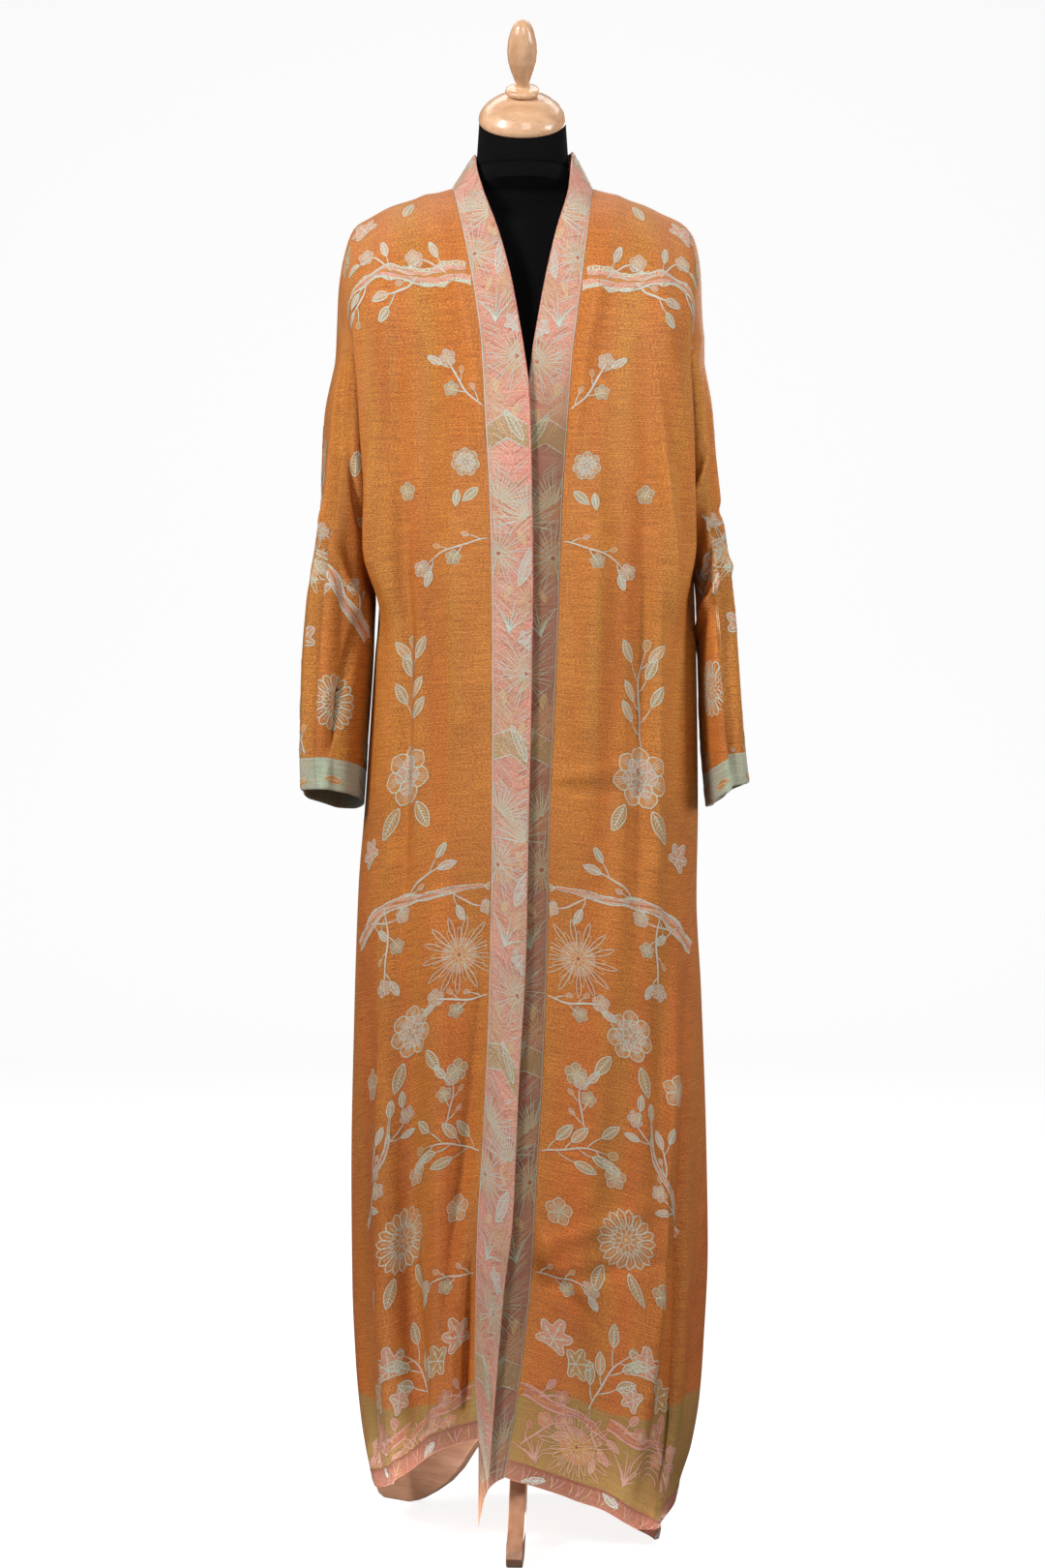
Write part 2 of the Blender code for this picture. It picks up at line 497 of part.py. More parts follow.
def drawn_in(grid, top=0.0, bottom=0.0, first=0.0, last=0.0):
    """The grid with its four edges drawn back by these distances."""
    grid = grid.copy()

    def pull(edge, towards, distance):
        step = towards - edge
        return edge + step / np.linalg.norm(step, axis=-1, keepdims=True) * distance

    grid[0] = pull(grid[0], grid[1], top)
    grid[-1] = pull(grid[-1], grid[-2], bottom)
    grid[:, 0] = pull(grid[:, 0], grid[:, 1], first)
    grid[:, -1] = pull(grid[:, -1], grid[:, -2], last)
    return grid


def facings(grid, ring):
    """The outward normal at each point of a grid."""
    down = np.gradient(grid, axis=0)
    round_way = (np.roll(grid, -1, axis=1) - np.roll(grid, 1, axis=1)) if ring else np.gradient(grid, axis=1)
    normal = np.cross(down, round_way)
    normal /= np.linalg.norm(normal, axis=-1, keepdims=True)
    centre = grid.mean(axis=1, keepdims=True) if ring else grid * [0.0, 0.0, 1.0]
    outward = ((grid - centre) * normal).sum() > 0
    return normal if outward else -normal


def quads(rows, columns, ring):
    """Faces of a grid of points, as rows of four point numbers."""
    last = columns if ring else columns - 1
    return [(r * columns + c, r * columns + (c + 1) % columns, (r + 1) * columns + (c + 1) % columns,
             (r + 1) * columns + c) for r in range(rows - 1) for c in range(last)]


def border(rows, columns, ring):
    """The closed loops of point numbers round a grid."""
    top = list(range(columns))
    bottom = list(range((rows - 1) * columns, rows * columns))
    if ring:
        return [top, bottom]
    right = [r * columns + columns - 1 for r in range(1, rows - 1)]
    left = [r * columns for r in range(rows - 2, 0, -1)]
    return [top + right + bottom[::-1] + left]


def add_mesh(name, points, faces, slot, smooth=True):
    mesh = bpy.data.meshes.new(name)
    mesh.from_pydata([tuple(point) for point in points], [], faces)
    obj = bpy.data.objects.new(name, mesh)
    finish_mesh(obj, slot, smooth)
    return obj


def finish_mesh(obj, slot, smooth=True):
    """Turns the faces outward, and gives the object its material and its collection."""
    work = bmesh.new()
    work.from_mesh(obj.data)
    bmesh.ops.recalc_face_normals(work, faces=work.faces)
    work.to_mesh(obj.data)
    work.free()
    if smooth:
        obj.data.shade_smooth()
        obj.data.set_sharp_from_angle(angle=SHARP_ANGLE)
    obj.data.materials.append(material(slot))
    robe_parts().objects.link(obj)


def material(slot):
    if slot in bpy.data.materials:
        return bpy.data.materials[slot]
    colour, roughness, metallic = COLOURS[slot]
    made = bpy.data.materials.new(slot)
    made.use_nodes = True
    shader = made.node_tree.nodes["Principled BSDF"]
    shader.inputs["Base Color"].default_value = (*colour, 1.0)
    shader.inputs["Roughness"].default_value = roughness
    shader.inputs["Metallic"].default_value = metallic
    return made


def robe_parts():
    """The collection that holds the parts."""
    name = "kimono_robe_on_dress_form"
    if name not in bpy.data.collections:
        bpy.context.scene.collection.children.link(bpy.data.collections.new(name))
    return bpy.data.collections[name]


def cloth_wall(name, grid, thickness, slot, ring=False, **seams):
    """A closed wall of cloth: the grid is its outer face, and the inner face lies one thickness inside it."""
    gaps = {edge: SEAM_GAP / 2 for edge, sewn in seams.items() if sewn}
    bevels = {edge: EDGE_BEVEL for edge in gaps}
    outer = drawn_in(grid, **gaps)
    inner = drawn_in(outer - facings(outer, ring) * thickness, **bevels)
    rows, columns = outer.shape[:2]
    count = rows * columns
    faces = quads(rows, columns, ring)
    faces += [tuple(count + i for i in reversed(face)) for face in quads(rows, columns, ring)]
    for loop in border(rows, columns, ring):
        faces += [(a, b, count + b, count + a) for a, b in zip(loop, loop[1:] + loop[:1])]
    points = np.concatenate([outer.reshape(-1, 3), inner.reshape(-1, 3)])
    return add_mesh(name, points, faces, slot)


def panel_rows():
    """Rows of a panel, closest together at the shoulder line."""
    over = np.linspace(0, 1, SHOULDER_ROWS) ** 1.5
    beside = np.linspace(1, 2, ARMHOLE_ROWS)[1:]
    below = np.linspace(2, 3, SKIRT_ROWS)[1:]
    return np.concatenate([over, beside, below])


def sleeve_angles():
    """Angles round a sleeve, one for each of the panels' rows at the armhole."""
    from_top = panel_rows()[panel_rows() <= 2] * math.pi / 2
    half = (math.pi - from_top)[::-1]
    return np.concatenate([half, (2 * math.pi - half)[::-1][1:-1]])


def front_columns():
    on_wall = np.linspace(0, FOLD_COLUMN, FRONT_COLUMNS)
    return np.concatenate([on_wall, np.linspace(FOLD_COLUMN, 1, TAIL_COLUMNS)[1:]])


def back_columns():
    at_neck = np.linspace(0, NECK_COLUMN, NECK_COLUMNS)
    on_wall = np.linspace(NECK_COLUMN, FOLD_COLUMN, BACK_COLUMNS)[1:]
    return np.concatenate([at_neck, on_wall, np.linspace(FOLD_COLUMN, 1, TAIL_COLUMNS)[1:]])


def both_sides(half):
    """A row of values for the right side run outside in, then for the left side run inside out."""
    return [("right", value) for value in half[::-1]] + [("left", value) for value in half[1:]]


def make_fronts():
    for side in SIDES:
        grid = panel_point(side, FRONT, front_columns()[None, :], panel_rows()[:, None])
        cloth_wall(f"front_{side}", grid, CLOTH, "robe_cloth", top=True, bottom=True, first=True, last=True)


def make_back():
    columns = [panel_point(side, BACK, across, panel_rows()) for side, across in both_sides(back_columns())]
    grid = np.stack(columns, axis=1)
    cloth_wall("back", grid, CLOTH, "robe_cloth", top=True, bottom=True, first=True, last=True)


def make_sleeves():
    angles = sleeve_angles()
    for side in SIDES:
        sleeve = sleeve_point(side, angles[None, :], np.linspace(0, 1, SLEEVE_ROWS)[:, None])
        cuff = sleeve_point(side, angles[None, :], np.linspace(1, 2, 3)[:, None])
        cloth_wall(f"sleeve_{side}", sleeve, CLOTH, "robe_cloth", ring=True, top=True, bottom=True)
        cloth_wall(f"cuff_{side}", cuff, DOUBLE_CLOTH, "cuff_cloth", ring=True, top=True)


def make_front_band():
    grid = np.concatenate([band_half("right"), collar_back(), band_half("left")[::-1]])
    cloth_wall("front_band", grid, DOUBLE_CLOTH, "band_cloth", first=True)


def make_hem_band():
    stops = [("right", FRONT, across) for across in front_columns()]
    stops += [("right", BACK, across) for across in back_columns()[::-1][1:]]
    stops += [("left", BACK, across) for across in back_columns()[1:]]
    stops += [("left", FRONT, across) for across in front_columns()[::-1][1:]]
    columns = []
    for side, face, across in stops:
        z = hem_level(side, face, across) + np.array([HEM_BAND, HEM_BAND / 2, 0.0])
        columns.append(place(side, *section(side, face, across, z), z))
    cloth_wall("hem_band", np.stack(columns, axis=1), CLOTH, "band_cloth", top=True, first=True, last=True)


def oval(half_width, front, back, z):
    """One level section of the dress form."""
    turns = np.linspace(0, 2 * math.pi, FORM_COLUMNS, endpoint=False)
    depth = np.where(np.sin(turns) < 0, front, back)
    return np.stack([half_width * np.cos(turns), depth * np.sin(turns), np.full(FORM_COLUMNS, z)], axis=-1)


def make_form():
    """The torso: level sections up to the shoulders, then rings that tip forward up the neck."""
    rings = [oval(*row[1:], row.z) for row in FORM]
    below = CLOTH + FORM_CLEARANCE
    for row in RIDGE["left"][3:0:-1]:
        rings.append(oval(row.out, *FORM_SHOULDER_DEPTH, row.z - below))
    rings.append(oval(*SHOULDER_END))
    rings.append(oval(*NECK_BASE))
    for share in np.linspace(0, 1, NECK_ROWS):
        tilt = NECK_TILT * share
        radius = mix(NECK_FOOT[0], NECK_TOP_RADIUS, share)
        ring = oval(radius, radius, radius, 0.0)
        lifted = ring @ np.array([[1, 0, 0], [0, math.cos(tilt), math.sin(tilt)], [0, 0, 1]])
        centre = [0.0, -NECK_TOP_FORWARD * share, mix(NECK_FOOT[1], NECK_TOP_LEVEL, share)]
        rings.append(lifted + centre)
    points = np.concatenate(rings)
    faces = quads(len(rings), FORM_COLUMNS, ring=True)
    faces.append(tuple(range(FORM_COLUMNS)))
    faces.append(tuple(range(len(points) - FORM_COLUMNS, len(points))))
    add_mesh("form_torso", points, faces, "black_jersey")


def turned(name, profile, slot, location=(0, 0, 0), tilt=0.0):
    """A piece turned on a lathe: the profile runs down its outer side."""
    mesh = bpy.data.meshes.new(name)
    points = [(turn.radius, 0.0, turn.height) for turn in profile]
    mesh.from_pydata(points, [(i, i + 1) for i in range(len(points) - 1)], [])
    mesh.materials.append(material(slot))
    obj = bpy.data.objects.new(name, mesh)
    obj.location = location
    obj.rotation_euler = Euler((tilt, 0, 0))
    screw = obj.modifiers.new("turning", "SCREW")
    screw.steps = screw.render_steps = TURNED_STEPS
    screw.use_merge_vertices = True
    screw.merge_threshold = 0.0001
    screw.use_smooth_shade = True
    robe_parts().objects.link(obj)
    return obj


def make_cap_and_finial():
    axis = Vector((0, -math.sin(NECK_TILT), math.cos(NECK_TILT)))
    neck_top = Vector((0, -NECK_TOP_FORWARD, NECK_TOP_LEVEL))
    turned("neck_cap", CAP, "beech", neck_top + axis * SEAT_GAP, NECK_TILT)
    turned("finial", FINIAL, "beech", neck_top + axis * (CAP[0].height + 2 * SEAT_GAP), NECK_TILT)


def make_stand():
    turned("stand_column", COLUMN, "beech")
    for turn, name in enumerate(("front", "left", "right")):
        azimuth = math.radians(LEG_FIRST_AZIMUTH + 120 * turn)
        outline = bpy.data.curves.new(f"stand_leg_{name}", "CURVE")
        outline.dimensions = "2D"
        outline.fill_mode = "BOTH"
        outline.extrude = LEG_THICKNESS / 2
        spline = outline.splines.new("POLY")
        spline.points.add(len(LEG_OUTLINE) - 1)
        for point, (reach, z) in zip(spline.points, LEG_OUTLINE):
            point.co = (reach, z, 0.0, 1.0)
        spline.use_cyclic_u = True
        outline.materials.append(material("beech"))
        leg = bpy.data.objects.new(f"stand_leg_{name}", outline)
        leg.rotation_euler = Euler((math.pi / 2, 0, azimuth))
        robe_parts().objects.link(leg)


def centre_on_origin():
    """Hangs every part on one empty, placed so that the middle of the footprint is the origin."""
    bpy.context.view_layer.update()
    graph = bpy.context.evaluated_depsgraph_get()
    points = [part.matrix_world @ vertex.co for part in robe_parts().objects
              for vertex in bpy.data.meshes.new_from_object(part.evaluated_get(graph)).vertices]
    holder = bpy.data.objects.new("floor_middle", None)
    for axis in range(2):
        values = [point[axis] for point in points]
        holder.location[axis] = -(min(values) + max(values)) / 2
    for part in list(robe_parts().objects):
        part.parent = holder
    robe_parts().objects.link(holder)


def main():
    for obj in list(bpy.data.objects):
        bpy.data.objects.remove(obj)
    make_fronts()
    make_back()
    make_sleeves()
    make_front_band()
    make_hem_band()
    make_form()
    make_cap_and_finial()
    make_stand()
    centre_on_origin()


main()
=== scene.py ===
"""Looks of the kimono robe on its dress form.

The cloth is worked out again from the part's own sizes, more finely and with its smaller creases. The woven
design is laid on it as thin shapes in flat cloth coordinates: u runs out from a seam, v down the cloth.
"""

import math
from collections import namedtuple

import bmesh
import bpy
import numpy as np
from mathutils import Euler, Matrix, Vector


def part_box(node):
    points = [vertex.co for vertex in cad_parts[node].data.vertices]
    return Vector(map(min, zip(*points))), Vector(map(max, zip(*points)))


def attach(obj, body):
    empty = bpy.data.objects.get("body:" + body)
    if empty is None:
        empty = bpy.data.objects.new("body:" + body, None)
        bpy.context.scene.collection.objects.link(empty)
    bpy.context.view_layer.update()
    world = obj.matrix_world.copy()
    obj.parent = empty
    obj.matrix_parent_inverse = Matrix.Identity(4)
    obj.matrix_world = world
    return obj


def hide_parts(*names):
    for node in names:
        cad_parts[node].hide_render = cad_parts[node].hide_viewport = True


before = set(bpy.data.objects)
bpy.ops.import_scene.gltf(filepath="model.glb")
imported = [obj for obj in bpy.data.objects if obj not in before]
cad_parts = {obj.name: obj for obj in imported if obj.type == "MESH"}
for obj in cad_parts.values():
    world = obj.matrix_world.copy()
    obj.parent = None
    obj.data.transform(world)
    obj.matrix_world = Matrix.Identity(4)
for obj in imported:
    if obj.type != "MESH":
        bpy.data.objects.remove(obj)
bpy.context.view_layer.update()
COLUMN_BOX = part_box("stand_column")
AXIS = np.array([(COLUMN_BOX[0].x + COLUMN_BOX[1].x) / 2, (COLUMN_BOX[0].y + COLUMN_BOX[1].y) / 2, 0.0])

# Driving sizes
CLOTH = 0.0016
DOUBLE_CLOTH = 0.0022
SEAM_SHUT = 0.00004
OVERLAP_STEP = 0.008
HEM_BAND = 0.019
CUFF_DEPTH = 0.034
SQUARENESS = 0.8
FOLD_ANGLE = math.radians(40)
FOLD_COLUMN = 0.78
NECK_COLUMN = 0.30
SHOULDER_LEVEL = 1.295
UNDERARM_LEVEL = 1.09
FOLD_ENDS = 0.97
NECK_POINT_OUT = 0.0785
BACK_NECK_DEPTH = 0.066
BACK_NECK_RISE = 0.010
COLLAR_BACK = 0.0590
COLLAR_BACK_RISE = 0.004
FORM_CLEARANCE = 0.0013
SEAT_GAP = 0.0003
FRONT, BACK = -1, 1
SIDES = {"right": -1, "left": 1}
PANELS = [("right", FRONT), ("left", FRONT), ("right", BACK), ("left", BACK)]
UNITS = {"d": "", "%": "e-2"}


def word_value(word):
    """A word of a table: a name, or a number of millimetres, degrees (d) or percent (%)."""
    if word[0].isalpha():
        return word
    return float(word[:-1] + UNITS[word[-1]]) if word[-1] in UNITS else float(word + "e-3")


def rows_of(kind, text):
    """Rows of one kind, written with commas between them."""
    return [kind(*map(word_value, row.split())) for row in text.split(",")]


def rows_by(kind, text, keys=SIDES):
    """A table for each side or panel, written with semicolons between them."""
    return {key: rows_of(kind, part) for key, part in zip(keys, text.split(";"))}


Ridge = namedtuple("Ridge", "out z")
RIDGE = rows_by(Ridge, """
    78.5 1493, 95.7 1488, 122 1480.5, 148 1470.5, 172 1459.5, 186 1451.5, 192.5 1441.5, 198 1425, 203 1403,
    206.5 1375, 207.8 1345, 209 1313;
    78.5 1493, 102 1486, 129.3 1475.5, 154.3 1465.5, 176 1456, 186 1447.5, 192.5 1437, 197.5 1417, 200 1395,
    201 1367, 202 1345, 204 1325""")
# Where the column at the fold meets the shoulder line, as a share of its length
RIDGE_SHARE_AT_FOLD = 0.44

# Half width of the body below the underarm
Width = namedtuple("Width", "z half")
BODY = rows_by(Width, """
    1090 159.5, 1030 161, 950 166.5, 860 172.5, 800 176.5, 713 183.5, 568 188.4, 393 191.6, 270 190.5,
    180 186.5, 125 181.5, 80 174.5, 30 162;
    1090 190.5, 1030 193.5, 950 195, 800 196.5, 700 195, 597 200, 420 206, 310 207.6, 206 203, 145 198.5,
    89 189, 40 174, 5 169""")
# Where the front and back panels double back in front of and behind the sleeve
FOLD_EDGE = rows_by(Width, """
    1295 182, 1214 174, 1146 170, 1090 166.5;
    1295 181.5, 1214 185, 1146 187, 1090 188""")
# The doubled edge: how far it rolls at its fold, and where it turns back towards the armhole
ROLL_OUT = 0.010
ROLL_IN = 0.013
TURN_FROM_ARMHOLE = 0.012
TURN_FROM_FOLD = 0.016
TURN_DEPTH_SHARE = 0.65
Depth = namedtuple("Depth", "z front back")
DEPTH = rows_of(Depth, """
    1295 116 118, 1200 129 122, 1100 133 118, 950 129 116, 600 133 119, 300 142 122, 0 151 120""")

# The band: its seam with the panel and its free edge, from the middle outwards
SEAM = rows_by(Width, """
    1295 44.5, 1233 41.2, 1123 35.4, 1000 33, 774 33.3, 600 36.2, 454 42.5, 340 49, 213 51, 120 47.6,
    20 47.6;
    1295 54.5, 1233 50, 1123 42.8, 1000 38.8, 774 29.2, 649 26.8, 510 21.8, 385 14.6, 300 10, 170 -5.2,
    84 -18.6""")
EDGE = rows_by(Width, """
    1295 -1, 1250 -6.6, 1173 -8.9, 1060 -10.4, 946 -9.4, 774 -5.8, 649 -3.5, 495 4.8, 356 11.1, 287 19.7,
    201 26.9, 69 37.2;
    1295 11.5, 1244 5.2, 1123 -4.5, 920 -10.5, 649 -20, 510 -25, 385 -32, 200 -47, 32 -47.5""")
# The free edge above the chest, by share of the way down from the shoulder line to the chest
Collar = namedtuple("Collar", "share out y z")
COLLAR = rows_by(Collar, """
    0% 54.5 0 1533, 20% 52 -36 1511, 40% 44.7 -60 1483, 60% 26.5 -85 1430, 80% 12.6 -104 1375,
    100% 0 -116 1303;
    0% 57 0 1536, 20% 55 -36 1512, 40% 51.5 -58 1483, 60% 37 -82 1430, 80% 24.5 -99 1372,
    100% 12.2 -108 1302""")
SEAM_LEAN = {"right": 1.3, "left": 0.95}
# Height of the band's lower end, by share of its width from the seam to the free edge
End = namedtuple("End", "share z")
BAND_END = rows_by(End, """
    0% 127, 50% 98, 100% 69;
    0% 84, 35% 79, 70% 68, 100% 32""")
# Height of the hem, by share of the way from the band's seam or the middle of the back to the side
HEM = rows_by(End, """
    0% 127, 25% 114, 45% 98, 60% 83, 78% 68, 90% 52, 100% 40;
    0% 84, 8% 74, 19% 64, 27% 56, 40% 47, 54% 32, 68% 19, 84% 5, 89% 8, 95% 22, 100% 36;
    0% 30, 12% 54, 50% 56, 78% 49, 100% 40;
    0% 30, 8% 7, 42% 5, 60% 30, 74% 43, 90% 42, 100% 36""", PANELS)

# Soft folds of the body: place and width as shares across a panel, height of the crest, and where it starts
Fold = namedtuple("Fold", "place width crest starts full")
FOLDS = rows_by(Fold, """
    24% 13% 5 1150 450, 48% 14% -7 950 250, 70% 13% 7 850 200, 88% 10% -10 700 150;
    30% 14% -5 1100 400, 52% 13% 6 1000 300, 76% 10% 11 620 100, 89% 9% -13 620 100;
    16% 15% 10 1000 300, 40% 14% -12 900 200, 62% 13% 10 850 200, 84% 12% -10 700 200;
    12% 11% -9 1050 300, 34% 14% 12 950 250, 58% 14% -13 900 150, 82% 12% 9 700 200""", PANELS)

# Sleeve: middle, half width and half depth of its oval section, and how far it hangs forward
Sleeve = namedtuple("Sleeve", "z middle half_width half_depth forward")
SLEEVE = rows_by(Sleeve, """
    1295 185 24 68 0, 1240 187 31.5 70 0, 1180 189 32.5 72 0, 1140 190.8 32.8 73 0, 1090 194 34.5 75 0,
    1060 198.9 33.4 77 1, 1030 200.3 35.7 79 2, 950 205 37 78 4, 860 209.9 35.9 78 6, 790 211.2 32.8 77 7;
    1295 186 18 68 0, 1240 192 21.5 69 0, 1180 196.5 20 71 0, 1090 206.3 15.8 76 0, 1030 211.8 16.7 80 2,
    950 216.8 19.8 83 4, 870 222.8 23.2 83 6, 790 231 24.5 80 7""")
ARMHOLE_BEND = 1.5
# End of the cuff: its middle height, and how much higher its front and its outer side are
Cuff = namedtuple("Cuff", "z front outer")
CUFF = {"right": Cuff(0.810, 0.0105, 0.004), "left": Cuff(0.815, 0.0050, 0.013)}
SleeveFold = namedtuple("SleeveFold", "angle width crest starts full")
SLEEVE_FOLDS = rows_by(SleeveFold, """
    122d 34d 5 1240 1000, 78d 30d -6 1220 950, 235d 40d -6 1220 950, 290d 34d 5 1200 950;
    140d 34d 4 1240 1000, 100d 30d -4 1220 1000, 230d 40d -5 1220 950""")

# Dress form: half width, depth to the front and depth to the back of its sections
Form = namedtuple("Form", "z half_width front back")
FORM = rows_of(Form, """
    800 146 94 96, 806 152 98 101, 870 160 101 106, 950 149 96 100, 1000 140 90 88, 1060 128 86 80,
    1110 130 92 82, 1170 143 107 90, 1225 152 114 94, 1290 158 104 95, 1350 168 88 86, 1400 178 73 73,
    1430 183 64 63, 1449 180 56 56""")
FORM_SHOULDER_DEPTH = (0.036, 0.034)
# Usual radius of the form, for the knit's scale round it
FORM_RADIUS = 0.15
SHOULDER_END = (0.0770, 0.0420, 0.0400, 1.4870)
NECK_BASE = (0.0600, 0.0560, 0.0560, 1.4965)
NECK_FOOT = (0.0525, 1.512)
NECK_TOP_RADIUS = 0.0485
NECK_TOP_LEVEL = 1.566
NECK_TOP_FORWARD = 0.010
NECK_TILT = math.radians(35)
# The seam at the foot of the neck, a ridge and a groove: height, place up the neck and width as shares
NECK_SEAM = ((0.0012, 0.0, 0.03), (-0.0011, 0.09, 0.025))

Turn = namedtuple("Turn", "radius height")
CAP = rows_of(Turn, """
    0 33, 12 32.2, 23 29.5, 33 25, 42 18, 47.5 10.5, 49.4 5, 48.5 0, 0 0""")
FINIAL = rows_of(Turn, """
    0 84, 4.5 83, 9 79, 13 71, 15.8 61, 17 49, 16 37, 12.5 25, 8.6 15, 7 10, 7.2 7.5, 17.5 6.5, 19.5 4.5,
    19 0, 0 0""")
COLUMN_RADIUS = 0.0160
COLUMN_BOTTOM = 0.066
HUB_RADIUS = 0.0210
HUB_TOP = 0.215
COLUMN = [Turn(0.0, 0.7997), Turn(COLUMN_RADIUS, 0.7997), Turn(COLUMN_RADIUS, HUB_TOP + 0.010),
          Turn(HUB_RADIUS, HUB_TOP), Turn(HUB_RADIUS, COLUMN_BOTTOM + 0.008),
          Turn(HUB_RADIUS - 0.006, COLUMN_BOTTOM), Turn(0.0, COLUMN_BOTTOM)]
LEG_THICKNESS = 0.0175
LEG_EASE = 0.0016
LEG_FIRST_AZIMUTH = -92.6
# The leg board's side view: distance from the post and height, round its outline
Leg = namedtuple("Leg", "reach z")
LEG_OUTLINE = rows_of(Leg, """
    21.3 190, 21.3 95, 42 96, 60 78, 83 45, 99.5 28, 119 14, 136 4, 150 0, 185 0, 193 4, 197 12, 194 20,
    185 25, 160 32, 135 49, 112 74, 93 102, 76 134, 56 166, 38 185""")

# How finely the cloth is divided
SHOULDER_STEPS = 64
ARMHOLE_STEPS = 48
SKIRT_STEPS = 232
FRONT_STEPS = 46
BACK_STEPS = 46
TAIL_STEPS = 22
SLEEVE_STEPS = 118
SLEEVE_DROP_STEPS = 122
CUFF_STEPS = 10
BAND_STEPS = 10
NECK_STEPS = 30
TUBE_STEPS = 220
HEM_STEPS = 7
FORM_COLUMNS = 112
FORM_SECTION_STEPS = 5
FORM_NECK_STEPS = 26
PROFILE_STEPS = 90

# Smaller creases of the panels: place in flat metres from the seam and height, length, width, lean from
# upright in degrees, and height of the crest
Crease = namedtuple("Crease", "u z length width lean crest")
CREASES = rows_by(Crease, """
    12 1300 300 10 6d 2.4, 105 1330 220 17 -14d 3.2, 62 1200 300 16 -4d -3, 128 1170 260 10 -9d 4,
    40 960 300 18 3d 3, 101 920 460 11 -1d -4.6, 80 940 440 13 -1d 3.4, 60 600 360 17 2d 4,
    20 420 340 10 -3d -4.4, 120 380 400 18 2d 4.8, 11 210 200 6 -4d -5, 26 220 220 9 -4d 4.8,
    75 200 240 16 4d -4.4;
    14 1310 260 10 5d 2.4, 95 1340 200 16 -16d 3.4, 50 1140 300 17 -3d -2.6, 120 1120 220 9 -10d 4.4,
    30 836 100 8 80d 1.2, 60 818 90 8 92d -1, 42 980 440 17 0d 3.6, 96 900 420 12 -1d -4.4,
    118 860 340 12 -2d 3.6, 70 560 360 17 2d 4, 18 318 120 8 -28d 4.6, 30 290 100 7 -44d -3.6,
    58 345 140 9 72d 1.6, 85 300 160 9 80d -1.5, 150 360 420 11 1d 6, 178 220 300 8 -2d -6.8;
    30 1300 300 21 4d 3.2, 110 1240 300 18 -12d 4.4, 70 950 400 21 3d -4, 130 700 400 18 -2d 4.8,
    40 450 400 18 2d 4.8, 100 280 360 16 3d -4.8;
    40 1280 280 21 5d 3.2, 118 1200 280 17 -10d 4.4, 20 900 400 19 -3d 4, 90 740 400 18 2d -4.4,
    150 520 400 16 -2d 4.8, 60 300 360 16 3d 4.8""", PANELS)
# Creases round the sleeves: u is the angle from the inner side by way of the front
SLEEVE_CREASES = rows_by(Crease, """
    118d 1020 420 4.8 -1d -5.6, 133d 1020 400 8 -1d 3.4, 104d 1000 300 8 1d 3, 60d 1120 160 8 24d -3.6,
    84d 1060 140 7 34d 2.8, 78d 920 200 7 -16d -3, 160d 980 280 10 4d 3, 250d 1020 300 11 8d -3.6,
    205d 1140 240 11 -8d 3.4;
    62d 1130 120 7 34d 4.6, 80d 1080 120 6 46d -4.2, 70d 1030 120 6 56d 3.6, 118d 1040 300 6 2d -3.6,
    132d 1020 300 8 2d 2.8, 96d 920 220 7 -10d -3, 246d 1050 260 11 10d 3.6, 290d 950 260 10 -8d -3.2""")
DEGREE = 0.00085
CREASE_DEPTH = 2.3
# How far a folded edge swells outward, as a share of its thickness
FOLD_ROUND = 0.45
# Depth below the armhole's seam over which a sleeve's creases set in
CREASE_FADE = 0.02
# Columns and rows over which a panel's creases die out at its edges
EDGE_FADE = (2.5, 8)
# Rounds of evening out of the back below the neck points, and the columns at its sides that stay as they are
EASE_ROUNDS = 40
EASE_MARGIN = 20
EASE_BLEND = 12
# How far the design stays from a sleeve's seams
SEAM_MARGIN = 0.0015


def curve(rows, column, at):
    """A smooth curve through one column of a table, with no overshoot, read at these places."""
    points = np.array([[row[0], getattr(row, column)] for row in rows], float)
    xs, ys = points[np.argsort(points[:, 0])].T
    at = np.clip(at, xs[0], xs[-1])
    step = np.diff(xs)
    slope = np.diff(ys) / step
    before, after = slope[:-1], slope[1:]
    turns = before * after <= 0
    inner = np.where(turns, 0.0, 2 * before * after / np.where(turns, 1.0, before + after))
    lean = np.concatenate([slope[:1], inner, slope[-1:]])
    i = np.clip(np.searchsorted(xs, at, side="right") - 1, 0, len(step) - 1)
    u = (at - xs[i]) / step[i]
    return (ys[i] * (1 + 2 * u) * (1 - u) ** 2 + ys[i + 1] * u * u * (3 - 2 * u)
            + step[i] * (lean[i] * u * (1 - u) ** 2 - lean[i + 1] * u * u * (1 - u)))


def grown(fold, z):
    """How much of a fold has formed at height z: none above its start, all below its full height."""
    return soft_step((fold.starts - z) / (fold.starts - fold.full))


def power(value, exponent):
    """A power that keeps the sign."""
    return np.sign(value) * np.abs(value) ** exponent


def mix(a, b, share):
    return a + (b - a) * share


def soft_step(share):
    share = np.clip(share, 0.0, 1.0)
    return share * share * (3 - 2 * share)


def bump(distance, width):
    """A crest one wide each way, and nothing outside it."""
    return np.where(np.abs(distance) < width, np.cos(np.pi / 2 * distance / width) ** 2, 0.0)


def place(side, out, y, z):
    """The point in the shared frame, round the stand's axis."""
    out, y, z = np.broadcast_arrays(out, y, z)
    return np.stack([SIDES[side] * out, y, z], axis=-1) + AXIS


def doubling(z):
    """How far the panel is doubled beside the sleeve: wholly above the underarm, not at all at the waist."""
    return soft_step((z - FOLD_ENDS) / (UNDERARM_LEVEL - FOLD_ENDS))


def wall_width(side, z):
    folded = curve(FOLD_EDGE[side], "half", z) / math.cos(FOLD_ANGLE) ** SQUARENESS
    return mix(curve(BODY[side], "half", z), folded, doubling(z))


